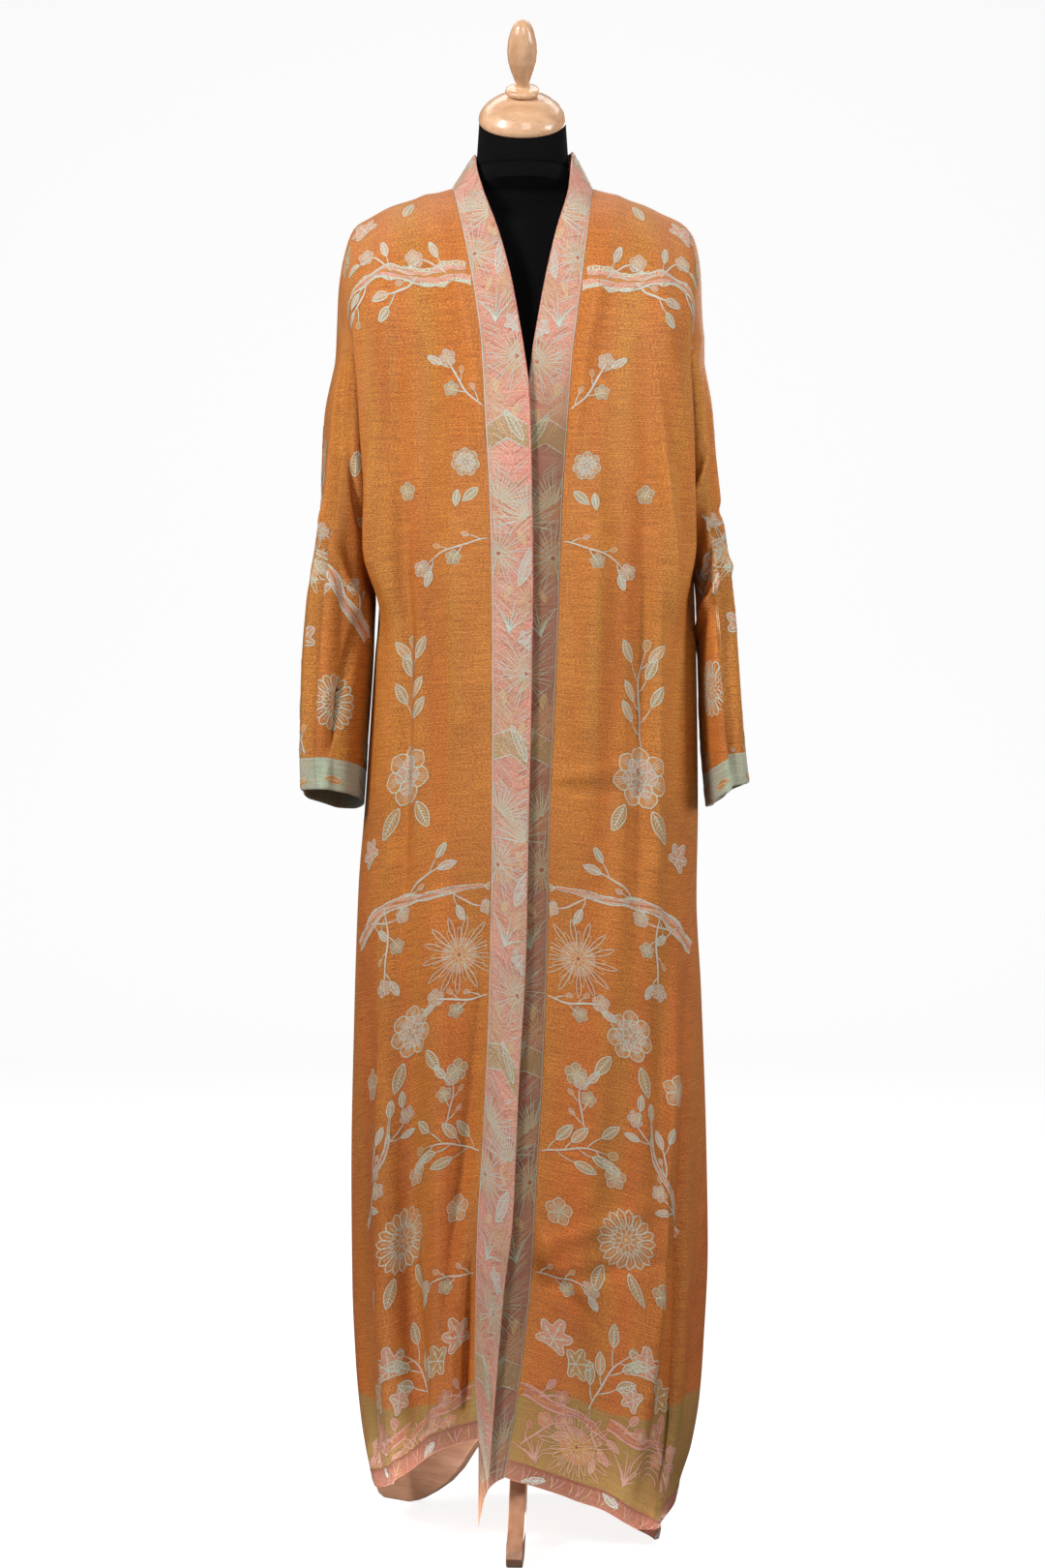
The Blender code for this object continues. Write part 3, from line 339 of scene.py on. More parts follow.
def wall_depth(side, face, z):
    if face == BACK:
        return curve(DEPTH, "back", z)
    return curve(DEPTH, "front", z) - (OVERLAP_STEP if side == "left" else 0.0)


def wall(side, face, angle, z):
    """The body's outline at height z: the angle is 0 at the side and 90 degrees at the middle."""
    out = wall_width(side, z) * power(np.cos(angle), SQUARENESS)
    y = face * wall_depth(side, face, z) * power(np.sin(angle), SQUARENESS)
    return out, y


def wall_angle(side, out, z):
    return np.arccos(np.clip(power(out / wall_width(side, z), 1 / SQUARENESS), -1.0, 1.0))


def fold_height(side, face, across, z):
    """How far the soft folds raise the wall."""
    total = np.zeros(np.broadcast(across, z).shape)
    for fold in FOLDS[side, face]:
        total = total + fold.crest * grown(fold, z) * bump(across - fold.place, fold.width)
    return total


def raised(side, face, out, y, z, height):
    """The wall's point moved along its own facing."""
    along_out = out / wall_width(side, z) ** 2
    along_y = y / wall_depth(side, face, z) ** 2
    length = np.hypot(along_out, along_y)
    return out + height * along_out / length, y + height * along_y / length


def armhole_angle(z):
    """Angle round the sleeve where the armhole's seam crosses this height: 0 at the underarm."""
    share = np.clip((z - UNDERARM_LEVEL) / (SHOULDER_LEVEL - UNDERARM_LEVEL), 0.0, 1.0)
    return np.arccos((1 - share) ** (1 / ARMHOLE_BEND))


def sleeve_ring(side, angle, z):
    """The sleeve's outline at height z: 0 at the body, 90 degrees at the front, 180 on the outside."""
    rows = SLEEVE[side]
    out = curve(rows, "middle", z) - curve(rows, "half_width", z) * np.cos(angle)
    y = -curve(rows, "forward", z) - curve(rows, "half_depth", z) * np.sin(angle)
    return out, y


def section(side, face, across, z):
    """A panel's outline at height z, from its inner edge (0) to the side or the armhole (1)."""
    across, z = np.broadcast_arrays(across, z)
    inner = curve(SEAM[side], "half", z) if face == FRONT else np.zeros(z.shape)
    first = wall_angle(side, inner, z)
    on_wall = np.clip(across / FOLD_COLUMN, 0.0, 1.0)
    beyond = np.clip((across - FOLD_COLUMN) / (1 - FOLD_COLUMN), 0.0, 1.0)
    out, y = wall(side, face, mix(first, FOLD_ANGLE, on_wall) * (1 - beyond), z)
    body = curve(BODY[side], "half", z)
    out = out - (wall_width(side, z) - body) * soft_step(beyond)
    fold_out, fold_y = wall(side, face, FOLD_ANGLE, z)
    ring_out, ring_y = sleeve_ring(side, armhole_angle(z), z)
    above = z >= UNDERARM_LEVEL
    end_out, end_y = np.where(above, ring_out, body), np.where(above, -face * ring_y, 0.0)
    turn_out = np.minimum(end_out - TURN_FROM_ARMHOLE, fold_out - TURN_FROM_FOLD)
    turn_y = mix(end_y, fold_y, TURN_DEPTH_SHARE)
    weights = ((1 - beyond) ** 3, 3 * beyond * (1 - beyond) ** 2, 3 * beyond ** 2 * (1 - beyond), beyond ** 3)
    tail_out = sum(w * at for w, at in zip(weights, (fold_out, fold_out + ROLL_OUT, turn_out, end_out)))
    tail_y = sum(w * at for w, at in zip(weights, (fold_y, fold_y - face * ROLL_IN, turn_y, end_y)))
    doubled = np.where(beyond > 0, doubling(z), 0.0)
    out, y = mix(out, tail_out, doubled), mix(y, tail_y, doubled)
    return raised(side, face, out, y, z, fold_height(side, face, across, z))


def ridge(side, share):
    """A point of the shoulder line, by share of its length from the neck to the dropped armhole."""
    points = np.array(RIDGE[side])
    length = np.concatenate([[0.0], np.cumsum(np.hypot(*np.diff(points, axis=0).T))])
    rows = [Collar(at, out, 0.0, z) for at, (out, z) in zip(length / length[-1], points)]
    return curve(rows, "out", share), curve(rows, "z", share)


def back_neck(side, turn):
    """The neck's cut edge at the back: 0 at the middle and 90 degrees at the neck point."""
    return (NECK_POINT_OUT * np.sin(turn), BACK_NECK_DEPTH * np.cos(turn),
            RIDGE[side][0].z + BACK_NECK_RISE * np.cos(turn))


def top_edge(side, face, across):
    """Where a column starts: on the shoulder line, or at the back of the neck."""
    share = np.where(across < FOLD_COLUMN, across / FOLD_COLUMN * RIDGE_SHARE_AT_FOLD,
                     mix(RIDGE_SHARE_AT_FOLD, 1.0, (across - FOLD_COLUMN) / (1 - FOLD_COLUMN)))
    if face == FRONT:
        out, z = ridge(side, share)
        return out, np.zeros(out.shape), z
    share_at_neck = NECK_COLUMN * RIDGE_SHARE_AT_FOLD / FOLD_COLUMN
    out, z = ridge(side, np.clip((share - share_at_neck) / (1 - share_at_neck), 0.0, 1.0))
    behind = across < NECK_COLUMN
    neck = back_neck(side, np.clip(across / NECK_COLUMN, 0.0, 1.0) * math.pi / 2)
    return tuple(np.where(behind, at_neck, on_ridge) for at_neck, on_ridge in zip(neck, (out, 0.0, z)))


def hem_level(side, face, across):
    return curve(HEM[side, face], "z", across)


def panel_point(side, face, across, down):
    """A point of a panel: down is 0 to 1 over the shoulder, to 2 beside the armhole and to 3 at the hem."""
    across, down = np.broadcast_arrays(np.asarray(across, float), np.asarray(down, float))
    lowest = hem_level(side, face, across) + HEM_BAND
    z = np.where(down < 2, sleeve_top(side, (2 - np.clip(down, 1, 2)) * math.pi / 2),
                 mix(UNDERARM_LEVEL, lowest, np.clip(down - 2, 0, 1)))
    out, y = section(side, face, across, z)
    top_out, top_y, top_z = top_edge(side, face, across)
    turn = np.clip(down, 0, 1) * math.pi / 2
    lean = mix(SEAM_LEAN[side] if face == FRONT else 1.0, 1.0, np.clip(across / FOLD_COLUMN, 0, 1))
    over = down < 1
    cosine = np.clip(np.cos(turn), 0.0, 1.0)
    out = np.where(over, mix(out, top_out, cosine ** lean), out)
    y = np.where(over, mix(top_y, y, np.sin(turn)), y)
    z = np.where(over, mix(z, top_z, cosine), z)
    return place(side, out, y, z)


def sleeve_top(side, angle):
    """The armhole's seam, at each angle round the sleeve."""
    inward = np.cos(angle)
    low = mix(UNDERARM_LEVEL, SHOULDER_LEVEL, 1 - np.abs(inward) ** ARMHOLE_BEND)
    high = mix(SHOULDER_LEVEL, RIDGE[side][-1].z, -inward)
    return np.where(inward > 0, low, high)


def cuff_level(side, angle):
    cuff = CUFF[side]
    return cuff.z + cuff.front * np.sin(angle) - cuff.outer * np.cos(angle)


def sleeve_point(side, angle, down):
    """A point of a sleeve: down is 0 at the armhole, 1 at the cuff's seam and 2 at the cuff's end."""
    top = sleeve_top(side, angle)
    seam = cuff_level(side, angle) + CUFF_DEPTH
    z = np.where(down < 1, mix(top, seam, np.clip(down, 0, 1)), seam - CUFF_DEPTH * np.clip(down - 1, 0, 1))
    return sleeve_at(side, angle, z)


def sleeve_at(side, angle, z):
    """A point of a sleeve's tube at this height, above the armhole's seam too."""
    angle, z = np.broadcast_arrays(angle, z)
    out, y = sleeve_ring(side, angle, np.minimum(z, SHOULDER_LEVEL))
    centre = curve(SLEEVE[side], "middle", SHOULDER_LEVEL)
    reach = curve(SLEEVE[side], "half_width", SHOULDER_LEVEL)
    out = np.where(z > SHOULDER_LEVEL, centre - reach * np.cos(angle), out)
    total = np.zeros(z.shape)
    for fold in SLEEVE_FOLDS[side]:
        total = total + fold.crest * grown(fold, z) * bump(np.degrees(angle) - fold.angle, fold.width)
    below_seam = np.clip((sleeve_top(side, angle) - z) / CREASE_FADE, 0.0, 1.0)
    for crease in SLEEVE_CREASES[side]:
        turn = (np.degrees(angle) - crease.u + 180) % 360 - 180
        total = total + below_seam * crease_height(crease, turn * DEGREE, z - crease.z)
    depth = curve(SLEEVE[side], "half_depth", z)
    normal = np.hypot(np.cos(angle) / reach, np.sin(angle) / depth)
    out = out - total * np.cos(angle) / reach / normal
    y = y - total * np.sin(angle) / depth / normal
    return place(side, out, y, z)


def hang_creases(side, face, u, z):
    """Height of the smaller creases at a point of a panel."""
    total = np.zeros(np.broadcast(u, z).shape)
    for crease in CREASES[side, face]:
        total = total + crease_height(crease, u - crease.u, z - crease.z)
    return total


def crease_height(crease, across, up):
    lean = math.radians(crease.lean)
    along = up * math.cos(lean) + across * math.sin(lean)
    over = across * math.cos(lean) - up * math.sin(lean)
    return CREASE_DEPTH * crease.crest * np.exp(-(over / crease.width) ** 2) * bump(along, crease.length)


def panel_downs():
    over = np.linspace(0, 1, SHOULDER_STEPS) ** 1.2
    beside = np.linspace(1, 2, ARMHOLE_STEPS)[1:]
    below = np.linspace(2, 3, SKIRT_STEPS)[1:]
    return np.concatenate([over, beside, below])


def panel_acrosses(face):
    on_wall = np.linspace(0, FOLD_COLUMN, FRONT_STEPS if face == FRONT else BACK_STEPS)
    return np.concatenate([on_wall, np.linspace(FOLD_COLUMN, 1, TAIL_STEPS)[1:]])


def unit(vectors):
    """Vectors brought to a length of one."""
    return vectors / np.maximum(np.linalg.norm(vectors, axis=-1, keepdims=True), 1e-9)


def facings(grid, ring):
    """The outward normal at each point of a grid."""
    down = np.gradient(grid, axis=0)
    round_way = (np.roll(grid, -1, axis=1) - np.roll(grid, 1, axis=1)) if ring else np.gradient(grid, axis=1)
    normal = unit(np.cross(down, round_way))
    centre = grid.mean(axis=1, keepdims=True) if ring else grid * [0.0, 0.0, 1.0] + AXIS
    outward = ((grid - centre) * normal).sum() > 0
    return normal if outward else -normal


class Cloth:
    """A surface of cloth: its points, outward normals and flat coordinates in metres. Its limit, where it has
    one, tells how far each point is from the cut edge."""

    def __init__(self, grid, ring=False, zero=0, limit=None):
        self.grid, self.ring, self.limit = grid, ring, limit
        self.normals = facings(grid, ring)
        joined = np.concatenate([grid, grid[:, :1]], axis=1) if ring else grid
        step = np.linalg.norm(np.diff(joined, axis=1), axis=-1)
        self.u = np.concatenate([np.zeros((len(grid), 1)), np.cumsum(step, axis=1)], axis=1)
        self.u = self.u - self.u[:, zero:zero + 1]
        fall = np.linalg.norm(np.diff(grid, axis=0), axis=-1).mean(axis=1)
        self.v = np.concatenate([[0.0], np.cumsum(fall)])

    def displaced(self, height, zero=0):
        return Cloth(self.grid + self.normals * height[..., None], self.ring, zero)

    def flat(self):
        columns = self.grid.shape[1]
        return np.stack([self.u[:, :columns], np.broadcast_to(self.v[:, None], self.grid.shape[:2])], axis=-1)

    def at(self, flat, lift):
        """Where flat points lie in space, lifted off the cloth, and which of them are on it."""
        u, v = flat.T
        row = np.clip(np.interp(v, self.v, np.arange(len(self.v))), 0, len(self.v) - 1.001)
        r, t = row.astype(int), row % 1
        lines = self.u[r] * (1 - t[:, None]) + self.u[r + 1] * t[:, None]
        if self.ring:
            u = (u - lines[:, 0]) % (lines[:, -1] - lines[:, 0]) + lines[:, 0]
        c = np.clip((lines <= u[:, None]).sum(axis=1) - 1, 0, lines.shape[1] - 2)
        i = np.arange(len(u))
        s = (u - lines[i, c]) / (lines[i, c + 1] - lines[i, c])
        inside = (s >= 0) & (s <= 1) & (v >= 0) & (v <= self.v[-1])
        s = np.clip(s, 0, 1)[:, None]
        t = t[:, None]
        after = (c + 1) % self.grid.shape[1]

        def blended(values):
            upper = mix(values[r, c], values[r, after], s)
            return mix(upper, mix(values[r + 1, c], values[r + 1, after], s), t)

        if self.limit is not None:
            inside &= blended(self.limit[..., None])[:, 0] > 0
        return blended(self.grid) + blended(self.normals) * lift[:, None], inside


def quads(rows, columns, ring):
    """Faces of a grid of points, as rows of four point numbers."""
    last = columns if ring else columns - 1
    r, c = np.meshgrid(np.arange(rows - 1), np.arange(last), indexing="ij")
    after = (c + 1) % columns
    return np.stack([r * columns + c, r * columns + after, (r + 1) * columns + after,
                     (r + 1) * columns + c], axis=-1).reshape(-1, 4)


def linked(name, data):
    """A new object of this data, in the scene."""
    obj = bpy.data.objects.new(name, data)
    bpy.context.scene.collection.objects.link(obj)
    return obj


def mesh_object(name, points, faces, materials, slots=None, sharp=50):
    mesh = bpy.data.meshes.new(name)
    mesh.from_pydata(np.asarray(points).tolist(), [], [list(face) for face in faces])
    for material in materials:
        mesh.materials.append(material)
    if slots is not None:
        mesh.polygons.foreach_set("material_index", slots)
    mesh.shade_smooth()
    if sharp:
        mesh.set_sharp_from_angle(angle=math.radians(sharp))
    return linked(name, mesh)


def store(obj, name, values):
    """Stores a number at each point of a piece."""
    obj.data.attributes.new(name, "FLOAT", "POINT").data.foreach_set("value", values)


def set_flat_map(mesh, flat):
    """Stores flat cloth coordinates, one pair for each face corner."""
    layer = mesh.uv_layers.new(name="flat")
    layer.data.foreach_set("uv", np.asarray(flat, np.float32).reshape(-1))


def turned_outward(obj):
    work = bmesh.new()
    work.from_mesh(obj.data)
    bmesh.ops.recalc_face_normals(work, faces=work.faces)
    work.to_mesh(obj.data)
    work.free()


def shell(name, cloth, thickness, materials, rounded=(), flat=None):
    """A closed wall of cloth with its outer face on the surface. Sewn edges stand back by SEAM_SHUT,
    and rounded ones are folded edges."""
    flat = cloth.flat() if flat is None else flat
    grid = cloth.grid.copy()

    def pull(edge, towards, distance):
        return edge + unit(towards - edge) * distance

    edges = {"top": np.s_[0, :], "bottom": np.s_[-1, :]}
    nexts = {"top": np.s_[1, :], "bottom": np.s_[-2, :]}
    if not cloth.ring:
        edges.update(first=np.s_[:, 0], last=np.s_[:, -1])
        nexts.update(first=np.s_[:, 1], last=np.s_[:, -2])
    for edge, where in edges.items():
        grid[where] = pull(grid[where], grid[nexts[edge]], 0.0 if edge in rounded else SEAM_SHUT)
    inner = grid - cloth.normals * thickness
    middle = grid - cloth.normals * thickness / 2
    for edge in rounded:
        where = edges[edge]
        middle[where] += grid[where] - pull(grid[where], grid[nexts[edge]], thickness * FOLD_ROUND)
    rows, columns = grid.shape[:2]
    count = rows * columns
    faces = quads(rows, columns, cloth.ring)
    inner_faces = faces[:, ::-1] + count
    loops = [np.arange(columns), np.arange((rows - 1) * columns, count)]
    if not cloth.ring:
        right = np.arange(1, rows - 1) * columns + columns - 1
        left = np.arange(rows - 2, 0, -1) * columns
        loops = [np.concatenate([loops[0], right, loops[1][::-1], left])]
    points = [grid.reshape(-1, 3), inner.reshape(-1, 3)]
    rims, owners = [], []
    start = 2 * count
    for loop in loops:
        points.append(middle.reshape(-1, 3)[loop])
        ring = np.arange(len(loop)) + start
        start += len(loop)
        after, ring_after = np.roll(loop, -1), np.roll(ring, -1)
        rims.append(np.stack([loop, after, ring_after, ring], axis=-1))
        rims.append(np.stack([ring, ring_after, after + count, loop + count], axis=-1))
        owners.append(loop)
    all_faces = np.concatenate([faces, inner_faces] + rims)
    slots = np.zeros(len(all_faces), np.int32)
    slots[len(faces):2 * len(faces)] = len(materials) - 1
    obj = mesh_object(name, np.concatenate(points), all_faces, materials, slots)
    by_point = np.concatenate([flat.reshape(-1, 2)] * 2 + [flat.reshape(-1, 2)[owner] for owner in owners])
    corner_flat = by_point[all_faces]
    if cloth.ring:
        across = corner_flat[..., 0]
        first, around = flat[..., 0].min(), np.ptp(flat[..., 0]) * columns / (columns - 1)
        wide = np.ptp(across, axis=1) > around / 2
        across += np.where(wide[:, None] & (across < first + around / 2), around, 0.0)
    set_flat_map(obj.data, corner_flat)
    turned_outward(obj)
    return obj


# Colours as seen, from 0 to 255
GROUND_GOLD = (218, 144, 54)
GROUND_RUST = (150, 66, 24)
TEAL = (196, 214, 200)
PINK = (214, 162, 152)
ROSE = (172, 98, 86)
SAGE = (164, 138, 78)
STRAW = (218, 186, 134)
AMBER = (196, 132, 72)
RUST = (176, 84, 40)
INK = (150, 62, 34)
# Low and high colour of a cloth's two threads
GROUND_THREADS = (GROUND_RUST, GROUND_GOLD)
# The reverse side's threads: paler than the face, and lighter still as painted light that stands for light
# bounced up from the floor onto the inside.
REVERSE_THREADS = ((216, 160, 124), (246, 206, 172))
SAGE_THREADS = ((140, 114, 68), (176, 150, 90))
HEM_THREADS = ((136, 76, 66), (172, 106, 92))
CUFF_THREADS = ((146, 156, 142), (186, 196, 184))
BAND_THREADS = ((184, 112, 96), (234, 182, 168))
BAND_GAPS = ((184, 112, 92), (230, 178, 160))
PALE_THREAD = (214, 204, 180)
SPECK_COLOUR = (222, 158, 116)
# Tints of the sheen and the lustre
ROSE_TINT = (1.0, 0.7, 0.6)
PALE_TINT = (1.0, 1.0, 1.0)
PALE_LUSTRE = (1.0, 0.92, 0.84)


def linear(colour):
    """Light values of a colour given from 0 to 255."""
    shares = np.array(colour, float) / 255
    return tuple(np.where(shares <= 0.04045, shares / 12.92, ((shares + 0.055) / 1.055) ** 2.4))


# A shape of the design: flat points, faces, colour, layer, and the share of the ground that it covers
Shape = namedtuple("Shape", "points faces colour layer cover")
STROKE_STEP = 0.004
PATCH_STEP = 0.0055
LAYER_LIFT = 0.00008
FIRST_LIFT = 0.00022
LINE = 0.0012
FINE_LINE = 0.0008
LINE_COVER = 0.85
LINE_LAYER = 3


def run_lengths(path):
    """How far each point of a path is from its start, along the path."""
    return np.concatenate([[0.0], np.cumsum(np.linalg.norm(np.diff(path, axis=0), axis=1))])


def resampled(path, step):
    path = np.asarray(path, float)
    lengths = run_lengths(path)
    at = np.linspace(0, lengths[-1], max(3, int(round(lengths[-1] / step)) + 1))
    return np.stack([np.interp(at, lengths, path[:, axis]) for axis in range(2)], axis=-1)


def strip_faces(count):
    """Faces between two lines of as many points."""
    return [(i, i + 1, count + i + 1, count + i) for i in range(count - 1)]


def sideways(path):
    """Directions across a path."""
    way = unit(np.gradient(path, axis=0))
    return np.stack([-way[:, 1], way[:, 0]], axis=-1)


def stroke(path, width=LINE, colour=TEAL, layer=LINE_LAYER, taper=True):
    """A woven line along a path."""
    path = resampled(path, STROKE_STEP)
    share = np.linspace(0, 1, len(path))
    half = width / 2 * (np.sin(math.pi * np.clip(share, 0.08, 0.92)) ** 0.5 if taper else np.ones(len(path)))
    side = sideways(path) * half[:, None]
    points = np.concatenate([path + side, path - side])
    return Shape(points, strip_faces(len(path)), colour, layer, LINE_COVER)


def patch(outline, colour, layer=0, cover=0.5):
    """A filled shape that is seen whole from its middle."""
    outline = resampled(np.concatenate([outline, outline[:1]]), PATCH_STEP)[:-1]
    centre = outline.mean(axis=0)
    rings = max(1, int(math.ceil(np.linalg.norm(outline - centre, axis=1).max() / PATCH_STEP)))
    count = len(outline)
    points = [centre[None]] + [centre + (outline - centre) * (k + 1) / rings for k in range(rings)]
    faces = [(0, 1 + i, 1 + (i + 1) % count) for i in range(count)]
    for k in range(rings - 1):
        a, b = 1 + k * count, 1 + (k + 1) * count
        faces += [(a + i, b + i, b + (i + 1) % count, a + (i + 1) % count) for i in range(count)]
    return Shape(np.concatenate(points), faces, colour, layer, cover)


def moved(shapes, u, v, turn):
    """Shapes drawn round their own root, growing along +y, set on the cloth: turn leans them outward."""
    angle = math.radians(turn)
    grow = np.array([math.sin(angle), -math.cos(angle)])
    side = np.array([math.cos(angle), math.sin(angle)])
    return [shape._replace(points=np.array([u, v]) + shape.points[:, :1] * side + shape.points[:, 1:] * grow)
            for shape in shapes]


def spun(shapes, turn, shift=(0.0, 0.0)):
    """Shapes turned about their root inside a motif."""
    angle = math.radians(turn)
    matrix = np.array([[math.cos(angle), -math.sin(angle)], [math.sin(angle), math.cos(angle)]])
    return [shape._replace(points=shape.points @ matrix + np.array(shift)) for shape in shapes]


def upward(turns):
    """Directions that lean from +y by these angles."""
    return np.stack([np.sin(turns), np.cos(turns)], axis=-1)


def circled(shapes, count, first=0.0):
    return [shape for k in range(count) for shape in spun(shapes, first + 360 * k / count)]


def petal_outline(length, width, start=0.0, peak=0.75):
    share = np.linspace(0, 1, 13)
    half = width / 2 * np.sin(math.pi * share ** peak) ** 0.8
    right = np.stack([half, start + share * length], axis=-1)
    return np.concatenate([right, (right * [-1, 1])[-2:0:-1]])


def disc(radius, colour, layer=0, points=24, cover=0.5):
    turns = np.linspace(0, 2 * math.pi, points, endpoint=False)
    return patch(np.stack([np.cos(turns), np.sin(turns)], axis=-1) * radius, colour, layer, cover)


def closed_stroke(outline, width=LINE, colour=TEAL, layer=LINE_LAYER):
    return stroke(np.concatenate([outline, outline[:1]]), width, colour, layer, taper=False)


# A petal's rib: shares of its reach to the side and of the petal's length
RIB = ((0.2, 0.12), (0.8, 0.5), (1.0, 0.84))
# Width of a petal's edge: the least, and what it gains from the petal's width
LEAST_EDGE = 0.0004
EDGE_GROWTH = 0.04


def petal_line(size, length, width, start, peak=1.3, line_width=FINE_LINE, line=TEAL):
    """The outline of one petal, its length, width and start as shares of the flower's size."""
    return closed_stroke(petal_outline(size * length, size * width, size * start, peak), line_width, line)


def petal(length, width, start, ground, line, ribs=2, layer=0):
    """One petal: a thin fill, its edge, and ribs that fan out from its root."""
    outline = petal_outline(length, width, start, 1.1)
    edge = min(LINE, LEAST_EDGE + width * EDGE_GROWTH)
    shapes = [patch(outline, ground, layer), closed_stroke(outline, edge, line, layer + LINE_LAYER)]
    for k in range(ribs):
        across = (2 * (k + 0.5) / ribs - 1) * width * 0.26
        path = [(across * share, start + length * rise) for share, rise in RIB]
        shapes.append(stroke(path, min(FINE_LINE, edge * 0.6), line, layer + LINE_LAYER))
    return shapes


def spider(size, ground=PINK, line=TEAL, petals=26):
    """A chrysanthemum with long thin petals."""
    shapes = [disc(size * 0.45, ground, cover=0.4)]
    long_one = petal_line(size, 0.80, 0.12, 0.20, 1.6, line=line)
    short_one = petal_line(size, 0.58, 0.10, 0.16, 1.5, line=STRAW)
    for k in range(petals):
        shapes += spun([long_one if k % 2 else short_one], 360 * k / petals + 3 * math.sin(k * 2.3))
    shapes += circled([petal_line(size, 0.20, 0.10, 0.05, line=STRAW)], 9)
    return shapes + [disc(size * 0.06, INK, 4, 8, 0.9)]


def kiku(size):
    """A chrysanthemum seen from above: two rings of round-ended petals."""
    outer = [petal_line(size, 0.62, 0.28, 0.38, line_width=LINE),
             stroke([(0, size * 0.45), (0, size * 0.8)], FINE_LINE)]
    inner = [petal_line(size, 0.28, 0.17, 0.12)]
    return ([disc(size * 0.95, AMBER, cover=0.45)] + circled(outer, 18) + circled(inner, 9, 9)
            + [disc(size * 0.10, STRAW, 4, 10, 0.8)])


# A peony's rings: a petal's length, width and start, its colour, ribs, how many, and where the first is
PEONY_RINGS = ((0.60, 0.66, 0.40, AMBER, 4, 7, 0), (0.46, 0.52, 0.22, PINK, 3, 6, 24),
               (0.32, 0.36, 0.04, ROSE, 2, 5, 8))


def peony(size):
    """A full flower: three rings of broad petals, the inner ones over the outer."""
    shapes = []
    for layer, (length, width, start, ground, ribs, count, first) in enumerate(PEONY_RINGS):
        one = petal(size * length, size * width, size * start, ground, TEAL, ribs, layer)
        shapes += circled(one, count, first)
    return shapes + [disc(size * 0.09, STRAW, 6, 8, 0.9)]


def blossom(size, ground=AMBER, line=TEAL):
    """Five round petals with fine threads at the middle."""
    shapes = circled(petal(size * 0.92, size * 0.86, size * 0.08, ground, line, 3), 5)
    shapes += circled([stroke([(0, 0), (0, size * 0.42)], FINE_LINE, STRAW, 6)], 7, 12)
    return shapes


def leaf(size, ground=SAGE, line=TEAL, width=0.42):
    """A pointed leaf with its ribs."""
    outline = petal_outline(size, size * width, 0.0, 0.9)
    shapes = [patch(outline, ground), closed_stroke(outline, LINE, line),
              stroke([(0, 0), (0, size * 0.95)], LINE, line)]
    for share in (0.12, 0.24, 0.36, 0.48, 0.60, 0.72):
        reach = size * width * 0.38 * math.sin(math.pi * share ** 0.9)
        for hand in (-1, 1):
            shapes.append(stroke([(0, size * share), (hand * reach, size * (share + 0.13))], FINE_LINE, line))
    return shapes


def vine_leaf(size, ground=PINK):
    """A leaf with five lobes, its edge toothed and a rib to each lobe."""
    turns = np.radians(np.linspace(-152, 152, 77))
    lobes = 0.56 + 0.44 * np.abs(np.cos(turns * 3)) ** 1.4
    reach = size * lobes * (1 - 0.30 * np.abs(turns) / turns[-1]) * (1 + 0.05 * np.sin(turns * 34))
    outline = upward(turns) * reach[:, None]
    shapes = [patch(outline, ground), closed_stroke(outline)]
    for degrees in (-120, -60, 0, 60, 120):
        tip = upward(math.radians(degrees)) * size * (0.86 - 0.26 * abs(degrees) / 152)
        shapes.append(stroke([(0, 0), tip]))
        for hand in (-24, 24):
            end = tip * 0.42 + upward(math.radians(degrees + hand)) * size * 0.24
            shapes.append(stroke([tip * 0.42, end], FINE_LINE))
    return shapes + [stroke([(0, 0), (size * 0.06, -size * 0.4)], LINE * 1.3)]


def bent(length, bend, steps=16, sway=0.0):
    """A path that grows along +y and bends to one side, by degrees in all, with a slight sway."""
    turns = np.radians(np.linspace(0, bend, steps) + sway * np.sin(np.linspace(0, 9, steps)))
    return np.concatenate([[(0.0, 0.0)], np.cumsum(upward(turns) * length / steps, axis=0)])


def headings(path):
    """How far each step of a path leans from +y, in degrees."""
    return [math.degrees(math.atan2(x, y)) for x, y in np.gradient(path, axis=0)]


def flower_or_leaf(kind, size, ground, line):
    if kind == "blossom":
        return blossom(size * 0.6, ground, line)
    if kind == "leaf":
        return leaf(size * 1.3, ground, line)
    return petal(size * 0.6, size * 0.4, 0.0, ground, line, 1)


def twig(size, bend, parts="leaf bud leaf blossom leaf", tip="blossom", part=0.018, ground=PINK, line=TEAL):
    """A bent twig: small side shoots to both hands, each with its leaf or flower, and one at the tip."""
    path = bent(size, bend, sway=7)
    heading = headings(path)
    shapes = [stroke(path, LINE * 1.7, line, 2), stroke(path + 0.0009, FINE_LINE, PINK, 4)]
    parts = parts.split()
    for k, kind in enumerate(parts):
        i = int((0.16 + 0.68 * k / max(len(parts) - 1, 1)) * (len(path) - 1))
        hand = 1 if k % 2 else -1
        shoot = bent(part * (0.9 + 0.3 * math.sin(k * 2.1)), -hand * 22, 5)
        end = flower_or_leaf(kind, part, (ground, SAGE, GROUND_GOLD)[k % 3], line)
        placed = [stroke(shoot, LINE, line)] + spun(end, hand * -18, shoot[-1])
        shapes += spun(placed, heading[i] + hand * 48, path[i])
    return shapes + spun(flower_or_leaf(tip, part * 1.15, ground, line), bend, path[-1])


